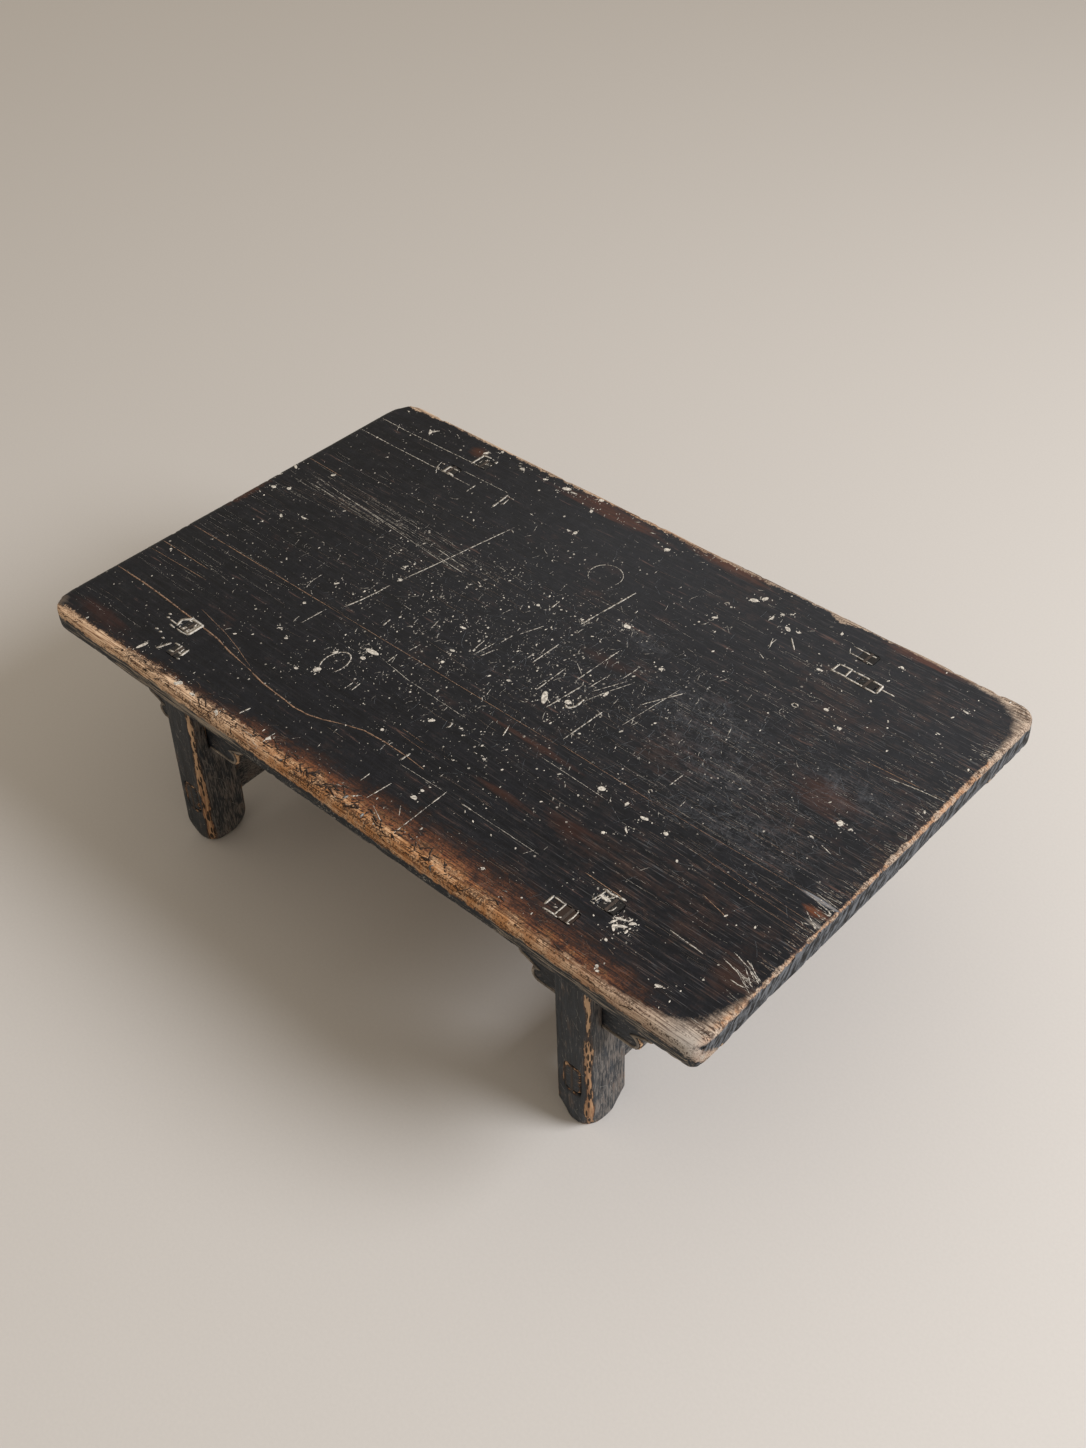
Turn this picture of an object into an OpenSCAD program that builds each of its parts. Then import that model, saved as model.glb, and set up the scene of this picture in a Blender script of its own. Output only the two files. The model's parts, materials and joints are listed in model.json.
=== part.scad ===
// Low kang table. A top of three planks stands on four splayed legs. The head of
// each leg is forked: an apron and a shaped spandrel pass through the fork, and
// both prongs end in through tenons, wedged flush with the top. A stretcher joins
// the two legs at each end of the table.
// Millimetres. The origin is on the floor under the middle of the top. X runs
// along the top, -Y is the worn front edge and Z is up.

/* [Tabletop] */
// Length of the top
top_l = 960; // [900:10:1100]
// Depth of the top from front edge to back edge
top_d = 580; // [560:10:680]
// Thickness of the planks
top_t = 30; // [26:1:36]
// Height of the upper face above the floor
table_h = 300; // [270:5:340]
// Depth of the front plank
front_plank_d = 210; // [190:5:230]
// Depth of the back plank
back_plank_d = 183; // [170:1:200]
// Radius of the worn upper arris along the front edge
front_edge_r = 12; // [6:1:16]
// Radius of the upper arris along the back edge
back_edge_r = 6; // [2:1:12]
// Radius of the lower arrises along both long edges
under_edge_r = 4; // [1:0.5:6]
// Radius of the upper and lower arrises at both ends
end_edge_r = 2; // [1:0.5:4]
// Corner radius in plan at the front left
front_left_r = 30; // [8:1:40]
// Corner radius in plan at the front right
front_right_r = 14; // [8:1:40]
// Corner radius in plan at the back right
back_right_r = 30; // [8:1:40]
// Corner radius in plan at the back left
back_left_r = 35; // [8:1:40]

/* [Plank joints] */
// Diameter of the bamboo pins in the plank seams
pin_d = 6; // [4:0.5:8]
// Length of a pin
pin_l = 60; // [40:5:80]
// Pitch of the pins along a seam
pin_pitch = 150; // [120:10:180]
// Least distance from an end of the top to a pin
pin_margin = 80; // [50:5:120]
// Distance from the middle of the top to a batten
batten_x = 165; // [140:5:180]
// Width of a batten under the planks
batten_w = 40; // [36:1:50]
// Depth of a batten under the planks
batten_drop = 18; // [12:1:24]
// Width of the batten's dovetail where it enters the planks
dovetail_w = 24; // [20:1:30]
// Height of the dovetail inside the planks
dovetail_h = 10; // [8:0.5:11]
// Flare of the dovetail on each side
dovetail_flare = 2.5; // [1:0.5:4]
// Distance from the front edge to the blind end of the dovetail groove
dovetail_stop = 45; // [35:5:60]

/* [Legs] */
// Width of a leg along the top
leg_w = 48; // [46:1:54]
// Depth of a leg across the top
leg_d = 60; // [56:1:66]
// Radius of the upright arrises
leg_corner_r = 8; // [4:1:9]
// Distance from an end of the top to a leg's centre at its shoulder
leg_inset_x = 177; // [165:1:190]
// Distance from a long edge of the top to a leg's centre at its shoulder
leg_inset_y = 63.5; // [60:0.5:70]
// Outward lean of the legs, the same along and across the table, in degrees
leg_splay = 1.1; // [0:0.1:1.8]
// Radius of the worn arris round each foot
foot_r = 9; // [4:1:12]
// Width of a through tenon along the top
tenon_w = 21; // [16:1:21]
// Distance from the leg's centre line to a tenon's centre line
tenon_offset = 11.5; // [11:0.5:12]
// Setback of the tenons from the leg's front and back faces
tenon_lip = 3; // [2:0.5:6]
// Thickness of a tenon wedge at its head
wedge_t = 3.2; // [2:0.2:4]
// Thickness of a tenon wedge at its tip
wedge_tip_t = 1; // [0.6:0.2:1.8]
// Length of a tenon wedge
wedge_l = 22; // [16:1:25]

/* [Aprons and spandrels] */
// Thickness of the aprons and spandrels
apron_t = 18; // [14:1:20]
// Height of an apron
apron_h = 38; // [32:1:46]
// Distance from an end of the top to an apron's end
apron_end_gap = 12; // [6:1:24]
// Radius of an apron's lower end corners
apron_end_r = 16; // [6:1:24]
// Distance from the underside of the top to the spandrels' lower edge
spandrel_drop = 120; // [114:1:130]
// Length of a spandrel where it meets the apron
spandrel_l = 240; // [230:2:256]
// Width of a spandrel's lower lobe
lobe_w = 146; // [136:1:150]
// Radius of the lower lobe's noses
lobe_r = 13; // [10:1:15]
// Depth of the notch above each nose
notch = 3; // [1:0.5:5]
// Width across a spandrel's upper lobes
shelf_w = 180; // [174:1:186]
// Radius of the upper lobes
shelf_r = 10; // [7:1:11]
// Radius of the cove between an upper lobe and the apron
cove_r = 34; // [26:1:34]
// Thickness of the spandrel at the tip of its cove
cove_tip = 4; // [2:0.5:6]
// Thickness of the tongue between spandrel and apron
tongue_t = 6; // [4:0.5:8]
// Height of the tongue
tongue_h = 8; // [5:0.5:12]

/* [Stretchers] */
// Thickness of a stretcher
stretcher_t = 26; // [20:1:28]
// Height of a stretcher
stretcher_h = 45; // [36:1:50]
// Distance from the floor to a stretcher's underside
stretcher_lift = 50; // [36:1:70]
// Shoulder round a stretcher's tenon
stretcher_shoulder = 2; // [1:0.5:4]
// Length of a stretcher wedge
stretcher_wedge_l = 28; // [20:1:34]

/* [Fits] */
// Clearance on each side of a joint
fit_gap = 0.1; // [0.05:0.05:0.3]

/* [Hidden] */
$fn = 64;

// Overrun of a cutting shape past the face that it cuts
cut = 1;
// Depth to which a tenon's block is let into its own post
root = 6;

shoulder_z = table_h - top_t;
front_seam_y = front_plank_d - top_d / 2;
back_seam_y = top_d / 2 - back_plank_d;
leg_cx = top_l / 2 - leg_inset_x;
leg_cy = top_d / 2 - leg_inset_y;

slot_w = apron_t + 2 * fit_gap;
tenon_t = leg_d / 2 - tenon_lip - slot_w / 2;
apron_l = top_l - 2 * apron_end_gap;
apron_z = shoulder_z - apron_h;
spandrel_z = shoulder_z - spandrel_drop;
spandrel_h = spandrel_drop - apron_h;
shelf_h = 2 * lobe_r;

stretcher_mid_z = stretcher_lift + stretcher_h / 2;
stretcher_cx = leg_cx + (shoulder_z - stretcher_mid_z) * tan(leg_splay);
stretcher_tenon_t = stretcher_t - 2 * stretcher_shoulder;
stretcher_tenon_h = stretcher_h - 2 * stretcher_shoulder;

pin_count = 2 * floor((top_l / 2 - pin_margin) / pin_pitch + 0.5);
batten_face_y = leg_cy - apron_t / 2 - fit_gap;

lacquer = [0.16, 0.15, 0.15];
lacquer_blue = [0.19, 0.21, 0.24];
worn_wood = [0.62, 0.45, 0.31];
bamboo = [0.78, 0.66, 0.44];

// A rectangle about the origin with its own radius at each corner, in the order
// -X-Y, +X-Y, +X+Y, -X+Y
module rounded_rect(size, r) {
    difference() {
        square(size, center = true);
        for (i = [0:3]) {
            sx = (i == 1 || i == 2) ? 1 : -1;
            sy = i > 1 ? 1 : -1;
            if (r[i] > 0)
                translate([sx * (size[0] / 2 - r[i]), sy * (size[1] / 2 - r[i])])
                    difference() {
                        translate([sx * (r[i] + cut) / 2, sy * (r[i] + cut) / 2])
                            square(r[i] + cut, center = true);
                        circle(r[i]);
                    }
        }
    }
}

// A block of the given size, centred in X and Y, standing on z
module block(x, y, z, size) {
    translate([x, y, z + size[2] / 2]) cube(size, center = true);
}

// The whole top before it is divided into planks
module top_slab() {
    mid_z = table_h - top_t / 2;
    intersection() {
        translate([0, 0, shoulder_z])
            linear_extrude(top_t)
                rounded_rect([top_l, top_d], [front_left_r, front_right_r, back_right_r, back_left_r]);
        translate([0, 0, mid_z])
            rotate([90, 0, 90])
                linear_extrude(top_l + 2 * cut, center = true)
                    rounded_rect([top_d, top_t], [under_edge_r, under_edge_r, back_edge_r, front_edge_r]);
        translate([0, 0, mid_z])
            rotate([90, 0, 0])
                linear_extrude(top_d + 2 * cut, center = true)
                    rounded_rect([top_l, top_t], [end_edge_r, end_edge_r, end_edge_r, end_edge_r]);
    }
}

// Centre of a through tenon. sx and sy name the leg's corner, and side is 1 for the
// outer tenon and -1 for the inner one, which stand on opposite sides of the leg
function tenon_x(sx, side) = sx * (leg_cx - side * tenon_offset);
function tenon_y(sy, side) = sy * (leg_cy + side * (slot_w + tenon_t) / 2);

// A through tenon or, with a gap, the mortise for it
module tenon(sx, sy, side, gap, low) {
    x = tenon_x(sx, side);
    y = tenon_y(sy, side);
    block(x, y, low, [tenon_w + 2 * gap, tenon_t + 2 * gap, table_h - low + gap]);
}

// A wedge driven into a tenon's end from above
module tenon_wedge(sx, sy, side) {
    translate([tenon_x(sx, side), tenon_y(sy, side), table_h])
        rotate([90, 0, 0])
            linear_extrude(tenon_t, center = true)
                polygon([
                    [-wedge_t / 2, 0], [wedge_t / 2, 0],
                    [wedge_tip_t / 2, -wedge_l], [-wedge_tip_t / 2, -wedge_l]
                ]);
}

module mortises(sy) {
    for (sx = [-1, 1])
        for (side = [-1, 1])
            tenon(sx, sy, side, fit_gap, shoulder_z - cut);
}

// The holes for the pins of one seam
module pin_row(seam_y, d, l) {
    for (i = [0:pin_count - 1])
        translate([(i - (pin_count - 1) / 2) * pin_pitch, seam_y, table_h - top_t / 2])
            rotate([90, 0, 0])
                cylinder(d = d, h = l, center = true);
}

// Cross-section of a batten's dovetail, wider inside the planks
module dovetail(gap) {
    polygon([
        [-dovetail_w / 2 - gap, -cut], [dovetail_w / 2 + gap, -cut],
        [dovetail_w / 2 + gap, 0],
        [dovetail_w / 2 + dovetail_flare + gap, dovetail_h + gap],
        [-dovetail_w / 2 - dovetail_flare - gap, dovetail_h + gap],
        [-dovetail_w / 2 - gap, 0]
    ]);
}

// The dovetail groove across the underside, blind at the front and open at the back
module batten_groove(sx) {
    front_y = dovetail_stop - top_d / 2;
    l = top_d / 2 + cut - front_y;
    translate([sx * batten_x, front_y + l, shoulder_z])
        rotate([90, 0, 0])
            linear_extrude(l)
                dovetail(fit_gap);
}

// One plank of the top between two seams or edges
module plank(low_y, high_y) {
    difference() {
        intersection() {
            top_slab();
            block(0, (low_y + high_y) / 2, shoulder_z - cut, [top_l, high_y - low_y, top_t + 2 * cut]);
        }
        pin_row(front_seam_y, pin_d + 2 * fit_gap, pin_l + 2 * cut);
        pin_row(back_seam_y, pin_d + 2 * fit_gap, pin_l + 2 * cut);
        batten_groove(-1);
        batten_groove(1);
        children();
    }
}

module top_plank_front() {
    color(lacquer)
        plank(-top_d / 2, front_seam_y)
            mortises(-1);
}

module top_plank_middle() {
    color(lacquer)
        plank(front_seam_y, back_seam_y);
}

module top_plank_back() {
    color(lacquer)
        plank(back_seam_y, top_d / 2)
            mortises(1);
}

module plank_pins() {
    color(bamboo) {
        pin_row(front_seam_y, pin_d, pin_l);
        pin_row(back_seam_y, pin_d, pin_l);
    }
}

// A batten between the aprons. Its dovetail runs on to the back edge of the top
module batten(sx) {
    front_y = dovetail_stop - top_d / 2 + fit_gap;
    l = top_d / 2 - front_y;
    color(worn_wood)
        union() {
            block(sx * batten_x, 0, shoulder_z - batten_drop, [batten_w, 2 * batten_face_y, batten_drop]);
            intersection() {
                translate([sx * batten_x, front_y + l, shoulder_z])
                    rotate([90, 0, 0])
                        linear_extrude(l)
                            dovetail(0);
                block(0, 0, shoulder_z, [top_l, top_d, top_t]);
                top_slab();
            }
        }
}

// A straight post with worn arrises, standing on its foot
module post(h) {
    intersection() {
        linear_extrude(h)
            rounded_rect([leg_w, leg_d], [leg_corner_r, leg_corner_r, leg_corner_r, leg_corner_r]);
        translate([0, 0, h / 2])
            rotate([90, 0, 0])
                linear_extrude(leg_d + 2 * cut, center = true)
                    rounded_rect([leg_w, h], [foot_r, foot_r, 0, 0]);
        translate([0, 0, h / 2])
            rotate([90, 0, 90])
                linear_extrude(leg_w + 2 * cut, center = true)
                    rounded_rect([leg_d, h], [foot_r, foot_r, 0, 0]);
    }
}

// The leaning post of one leg, cut level at the floor and at its shoulder
module leg_blank(sx, sy) {
    below = shoulder_z + cut;
    intersection() {
        translate([sx * leg_cx, sy * leg_cy, shoulder_z])
            rotate([sy * leg_splay, -sx * leg_splay, 0])
                translate([0, 0, -below])
                    post(below + root);
        block(sx * top_l / 4, sy * top_d / 4, 0, [top_l / 2, top_d / 2, shoulder_z]);
    }
}

// The tenon of a stretcher through one leg or, with a gap, the mortise for it
module stretcher_tenon(sx, sy, gap) {
    l = top_d / 2;
    block(sx * stretcher_cx, sy * l / 2, stretcher_lift + stretcher_shoulder - gap,
        [stretcher_tenon_t + 2 * gap, l, stretcher_tenon_h + 2 * gap]);
}

// The seat for a wedge in a stretcher's tenon, run on past the leg's outer face and,
// with a gap, past the tenon's upper and lower faces
module stretcher_wedge_seat(sx, sy, gap) {
    face_y = leg_cy + leg_d / 2 + (shoulder_z - stretcher_mid_z) * tan(leg_splay);
    translate([sx * stretcher_cx, 0, stretcher_lift + stretcher_shoulder - gap])
        linear_extrude(stretcher_tenon_h + 2 * gap)
            polygon([
                [-wedge_tip_t / 2, sy * (face_y - stretcher_wedge_l)],
                [wedge_tip_t / 2, sy * (face_y - stretcher_wedge_l)],
                [wedge_t / 2, sy * (face_y + cut)],
                [-wedge_t / 2, sy * (face_y + cut)]
            ]);
}

// A wedge driven into a stretcher's tenon, flush with the leg's outer face
module stretcher_wedge(sx, sy) {
    intersection() {
        stretcher_wedge_seat(sx, sy, 0);
        leg_blank(sx, sy);
    }
}

module leg(sx, sy) {
    color(lacquer_blue)
        difference() {
            union() {
                leg_blank(sx, sy);
                for (side = [-1, 1])
                    tenon(sx, sy, side, 0, shoulder_z - root);
            }
            block(sx * leg_cx, sy * leg_cy, spandrel_z, [2 * leg_w, slot_w, spandrel_drop + top_t]);
            stretcher_tenon(sx, sy, fit_gap);
            for (side = [-1, 1])
                tenon_wedge(sx, sy, side);
        }
}

module apron(sy) {
    color(lacquer_blue)
        difference() {
            translate([0, sy * leg_cy, apron_z + apron_h / 2])
                rotate([90, 0, 0])
                    linear_extrude(apron_t, center = true)
                        rounded_rect([apron_l, apron_h], [apron_end_r, apron_end_r, 0, 0]);
            for (sx = [-1, 1])
                spandrel_tongue(sx, sy, fit_gap);
        }
}

// The tongue on a spandrel's upper edge or, with a gap, the groove for it
module spandrel_tongue(sx, sy, gap) {
    l = spandrel_l - 2 * cove_r;
    block(sx * leg_cx, sy * leg_cy, apron_z - cut, [l + 2 * gap, tongue_t + 2 * gap, tongue_h + cut + gap]);
}

// Outline of a spandrel: a lower lobe with two noses, a shelf with two upper lobes
// and a cove on each side that runs out under the apron
module spandrel_outline() {
    shelf_x = shelf_w / 2 - shelf_r;
    cove_x = spandrel_l / 2;
    union() {
        translate([0, (shelf_h + cut) / 2])
            square([lobe_w - 2 * lobe_r, shelf_h + cut], center = true);
        translate([0, (lobe_r + shelf_h + cut) / 2])
            square([lobe_w - 2 * notch, shelf_h + cut - lobe_r], center = true);
        for (sx = [-1, 1])
            translate([sx * (lobe_w / 2 - lobe_r), lobe_r])
                circle(lobe_r);
        translate([0, (shelf_h + spandrel_h) / 2])
            square([2 * shelf_x, spandrel_h - shelf_h], center = true);
        for (sx = [-1, 1])
            translate([sx * shelf_x, shelf_h + shelf_r])
                circle(shelf_r);
        difference() {
            translate([0, spandrel_h - (cove_r + cove_tip) / 2])
                square([spandrel_l, cove_r + cove_tip], center = true);
            for (sx = [-1, 1])
                translate([sx * cove_x, spandrel_h - cove_tip - cove_r])
                    circle(cove_r);
        }
    }
}

module spandrel(sx, sy) {
    color(lacquer_blue)
        union() {
            translate([sx * leg_cx, sy * leg_cy, spandrel_z])
                rotate([90, 0, 0])
                    linear_extrude(apron_t, center = true)
                        spandrel_outline();
            spandrel_tongue(sx, sy, 0);
        }
}

// A stretcher between two legs with a through tenon at each end
module stretcher(sx) {
    color(lacquer_blue)
        difference() {
            union() {
                difference() {
                    block(sx * stretcher_cx, 0, stretcher_lift, [stretcher_t, 2 * leg_cy, stretcher_h]);
                    leg_blank(sx, -1);
                    leg_blank(sx, 1);
                }
                for (sy = [-1, 1])
                    difference() {
                        stretcher_tenon(sx, sy, 0);
                        difference() {
                            block(sx * stretcher_cx, sy * (leg_cy + leg_d), 0,
                                [2 * leg_w, 2 * leg_d, shoulder_z]);
                            leg_blank(sx, sy);
                        }
                    }
            }
            for (sy = [-1, 1])
                stretcher_wedge_seat(sx, sy, fit_gap);
        }
}

module tenon_wedges() {
    color(worn_wood)
        for (sx = [-1, 1])
            for (sy = [-1, 1])
                for (side = [-1, 1])
                    tenon_wedge(sx, sy, side);
}

module stretcher_wedges() {
    color(worn_wood)
        for (sx = [-1, 1])
            for (sy = [-1, 1])
                stretcher_wedge(sx, sy);
}

top_plank_front();
top_plank_middle();
top_plank_back();
plank_pins();
batten(-1);  // left_batten
batten(1);  // right_batten
leg(-1, -1);  // leg_front_left
leg(1, -1);  // leg_front_right
leg(-1, 1);  // leg_back_left
leg(1, 1);  // leg_back_right
apron(-1);  // front_apron
apron(1);  // back_apron
spandrel(-1, -1);  // spandrel_front_left
spandrel(1, -1);  // spandrel_front_right
spandrel(-1, 1);  // spandrel_back_left
spandrel(1, 1);  // spandrel_back_right
stretcher(-1);  // left_stretcher
stretcher(1);  // right_stretcher
tenon_wedges();
stretcher_wedges();
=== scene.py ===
"""Dresses the plain frame of a low kang table: a plank top under worn black lacquer on
four forked legs, with long aprons, shaped spandrels and end stretchers."""

import json
from functools import partial
from math import cos, pi, radians, sin

import bmesh
import bpy
import numpy as np
from bpy.props import (
    FloatProperty,
    FloatVectorProperty,
    IntProperty,
    PointerProperty,
    StringProperty,
)
from mathutils import Matrix, Quaternion, Vector, noise
from mathutils.bvhtree import BVHTree

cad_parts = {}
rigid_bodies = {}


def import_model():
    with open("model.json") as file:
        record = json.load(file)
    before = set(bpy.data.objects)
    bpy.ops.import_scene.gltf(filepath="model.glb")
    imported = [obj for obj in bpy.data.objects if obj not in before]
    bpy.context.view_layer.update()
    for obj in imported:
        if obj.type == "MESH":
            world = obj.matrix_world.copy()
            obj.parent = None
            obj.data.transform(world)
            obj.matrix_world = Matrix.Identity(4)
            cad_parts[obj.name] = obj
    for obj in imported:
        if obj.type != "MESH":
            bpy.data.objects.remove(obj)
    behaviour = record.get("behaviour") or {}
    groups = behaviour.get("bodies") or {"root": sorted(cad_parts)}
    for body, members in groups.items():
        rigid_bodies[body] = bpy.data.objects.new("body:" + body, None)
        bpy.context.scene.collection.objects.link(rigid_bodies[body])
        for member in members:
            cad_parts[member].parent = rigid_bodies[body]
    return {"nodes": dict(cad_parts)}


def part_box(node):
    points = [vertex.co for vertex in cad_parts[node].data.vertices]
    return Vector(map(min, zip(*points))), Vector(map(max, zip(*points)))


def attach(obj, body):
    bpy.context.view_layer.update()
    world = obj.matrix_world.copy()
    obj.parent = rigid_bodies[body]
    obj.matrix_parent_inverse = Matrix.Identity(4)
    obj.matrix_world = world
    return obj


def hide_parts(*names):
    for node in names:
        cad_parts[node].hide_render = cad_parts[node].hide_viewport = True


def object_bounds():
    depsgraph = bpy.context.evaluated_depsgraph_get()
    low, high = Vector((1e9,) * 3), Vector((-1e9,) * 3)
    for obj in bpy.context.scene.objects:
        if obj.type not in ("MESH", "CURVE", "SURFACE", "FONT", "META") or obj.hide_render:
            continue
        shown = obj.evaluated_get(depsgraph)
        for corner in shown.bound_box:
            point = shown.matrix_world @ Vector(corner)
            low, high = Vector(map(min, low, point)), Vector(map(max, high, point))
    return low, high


bl_info = {
    "name": "Worn kang table",
    "version": (1, 0, 0),
    "blender": (4, 5, 0),
    "location": "3D View > Sidebar > Kang table",
    "description": "Gives a low lacquered table its wear, grain, scratches and lime flecks",
    "category": "Object",
}

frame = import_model()
CAD_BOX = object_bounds()

MM = 0.001
BODY = "root"
# Rounds of smoothing that tell an arris from a face, and how many cells wider than its
# box a plank is made before it is cut at its seams
SMOOTHING, SPARE_CELLS = 14, 12
# The angle past which an edge stays crisp
SHARP_ANGLE = radians(50)
# The heights between which a leg's sides are straight
LEG_LOW, LEG_HIGH = 35 * MM, 195 * MM
# The deepest nick and dent of the frame, and the deepest nick and wave round the top, in
# millimetres
NICK, DENT, TOP_NICK, TOP_WAVE = 4, 0.35, 5, 1.2
# How far marks may lie under the level of the top, and stand on it
DEEPEST, LIFT = 8 * MM, 0.04 * MM
# The thickness of a plank, and the slice of a leg in which its sides are measured
PLANK, LEG_SLICE = 30 * MM, 5 * MM
# How far apart the noise of two seeds lies
SEED_GAP = 17.3
# Half the width of the floor in metres
FLOOR_HALF = 12.0
# The half-height of a stain that goes through the plank, in millimetres
THROUGH = 400

PLANKS = ("top_plank_front", "top_plank_middle", "top_plank_back")
LEGS = ("leg_front_left", "leg_front_right", "leg_back_left", "leg_back_right")
APRONS = ("front_apron", "back_apron")
SPANDRELS = (
    "spandrel_front_left",
    "spandrel_front_right",
    "spandrel_back_left",
    "spandrel_back_right",
)
STRETCHERS = ("left_stretcher", "right_stretcher")
WEDGES = ("tenon_wedges", "stretcher_wedges")
BATTENS = ("left_batten", "right_batten")
PINS = "plank_pins"

# Types of node, each with the setting that it always has here. A range maps a value from
# one span to another, which is 0 to 1 where none is given
NOISE = ("ShaderNodeTexNoise", {})
VORONOI = ("ShaderNodeTexVoronoi", {})
RANGE = ("ShaderNodeMapRange", {})
SPLIT = ("ShaderNodeSeparateXYZ", {})
MIX = ("ShaderNodeMix", {"data_type": "RGBA"})
TURN = ("ShaderNodeVectorRotate", {"rotation_type": "Z_AXIS"})
PLUS = ("ShaderNodeMath", {"operation": "ADD"})
MINUS = ("ShaderNodeMath", {"operation": "SUBTRACT"})
TIMES = ("ShaderNodeMath", {"operation": "MULTIPLY"})
OVER = ("ShaderNodeMath", {"operation": "DIVIDE"})
TIMES_PLUS = ("ShaderNodeMath", {"operation": "MULTIPLY_ADD"})
MOST = ("ShaderNodeMath", {"operation": "MAXIMUM"})
LEAST = ("ShaderNodeMath", {"operation": "MINIMUM"})
UNSIGNED = ("ShaderNodeMath", {"operation": "ABSOLUTE"})
BELOW = ("ShaderNodeMath", {"operation": "LESS_THAN"})
V_MINUS = ("ShaderNodeVectorMath", {"operation": "SUBTRACT"})
V_TIMES = ("ShaderNodeVectorMath", {"operation": "MULTIPLY"})
V_OVER = ("ShaderNodeVectorMath", {"operation": "DIVIDE"})
V_TIMES_PLUS = ("ShaderNodeVectorMath", {"operation": "MULTIPLY_ADD"})
V_SCALE = ("ShaderNodeVectorMath", {"operation": "SCALE"})
V_LENGTH = ("ShaderNodeVectorMath", {"operation": "LENGTH"})

LOW, HIGH = (np.array(corner) for corner in CAD_BOX)
TOP_Z = HIGH[2]
TOP_SIZE = (HIGH - LOW) / MM

# Marks on the top are in millimetres from its front left corner, X to the right and Y
# to the back, as they were measured

# Pale scratches through the lacquer: the width, then the points of the line
SCRATCHES = (
    (1.3, (312, 460), (303, 410), (292, 343), (284, 300)),
    (1.7, (281, 283), (279, 263), (275, 240), (269, 216)), (1.0, (258, 205), (255, 169)),
    (1.8, (506, 458), (499, 400), (496, 374)), (1.4, (501, 332), (500, 290)), (1.3, (559, 367), (556, 300)),
    (1.3, (534, 307), (534, 259)), (1.5, (567, 296), (561, 245)), (1.5, (611, 282), (608, 221)),
    (1.0, (594, 361), (592, 334)), (0.9, (578, 330), (574, 298)), (0.9, (605, 334), (594, 307), (585, 280)),
    (0.8, (599, 334), (581, 296)), (1.1, (658, 360), (633, 312)), (0.7, (650, 360), (640, 277)),
    (0.9, (467, 345), (456, 316)), (1.5, (446, 288), (442, 260)), (1.3, (454, 278), (449, 260)),
    (0.9, (452, 310), (450, 292)), (0.9, (434, 283), (436, 261)), (1.2, (370, 274), (374, 258)),
    (1.7, (327, 240), (329, 227)), (1.6, (450, 389), (451, 373)), (0.7, (538, 321), (557, 308)),
    (1.5, (551, 200), (557, 183)), (1.2, (378, 202), (379, 186)), (1.0, (385, 231), (383, 214)),
    (0.6, (366, 187), (417, 180), (513, 177)), (1.2, (572, 86), (573, 8)), (0.5, (507, 83), (570, 85)),
    (1.3, (595, 84), (609, 84)), (0.5, (609, 84), (700, 84)), (1.1, (521, 58), (519, 42), (517, 27)),
    (1.1, (494, 53), (494, 40)), (1.2, (374, 29), (374, 9)), (1.7, (324, 38), (321, 24)),
    (2.0, (504, 101), (503, 88)), (1.4, (383, 142), (384, 128)), (0.9, (376, 138), (376, 125)),
    (1.0, (3, 526), (60, 525), (195, 528)), (1.2, (3, 490), (70, 489), (210, 489)),
    (0.9, (38, 530), (46, 518)), (1.1, (143, 505), (148, 490), (157, 480)), (0.8, (180, 507), (257, 508)),
    (1.8, (213, 494), (214, 477)), (2.4, (259, 505), (262, 472)), (1.2, (257, 503), (272, 502)),
    (1.2, (266, 498), (268, 486)), (1.1, (747, 536), (752, 528)), (1.5, (650, 527), (650, 516)),
    (1.2, (673, 494), (680, 478)), (1.4, (688, 508), (703, 493)), (0.9, (677, 495), (677, 479)),
    (1.3, (735, 262), (734, 240)), (0.6, (610, 186), (701, 183)), (0.8, (701, 189), (705, 182)),
    (1.1, (896, 273), (910, 269)), (0.6, (46, 377), (320, 352)), (1.0, (60, 363), (100, 361)),
    (0.7, (100, 372), (205, 365)), (1.0, (270, 369), (330, 363)), (0.9, (281, 358), (330, 355)),
    (1.0, (353, 355), (364, 351)), (0.9, (210, 216), (205, 230), (205, 245)),
    (1.2, (890, 392), (925, 398), (960, 401)), (1.0, (912, 100), (952, 91)), (1.1, (855, 94), (895, 92)),
    (1.0, (936, 372), (958, 365)), (0.7, (551, 42), (560, 31)), (2.2, (503, 18), (511, 26)),
    (1.2, (478, 20), (492, 23)), (0.9, (530, 24), (552, 14)), (0.9, (508, 202), (513, 206)),
    (0.9, (508, 202), (507, 196)), (0.7, (738, 167), (747, 160)),
    (2.6, (583, 284), (584, 268), (579, 259), (573, 262)), (1.6, (502, 164), (506, 158), (503, 153)),
)  # fmt: skip

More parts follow.
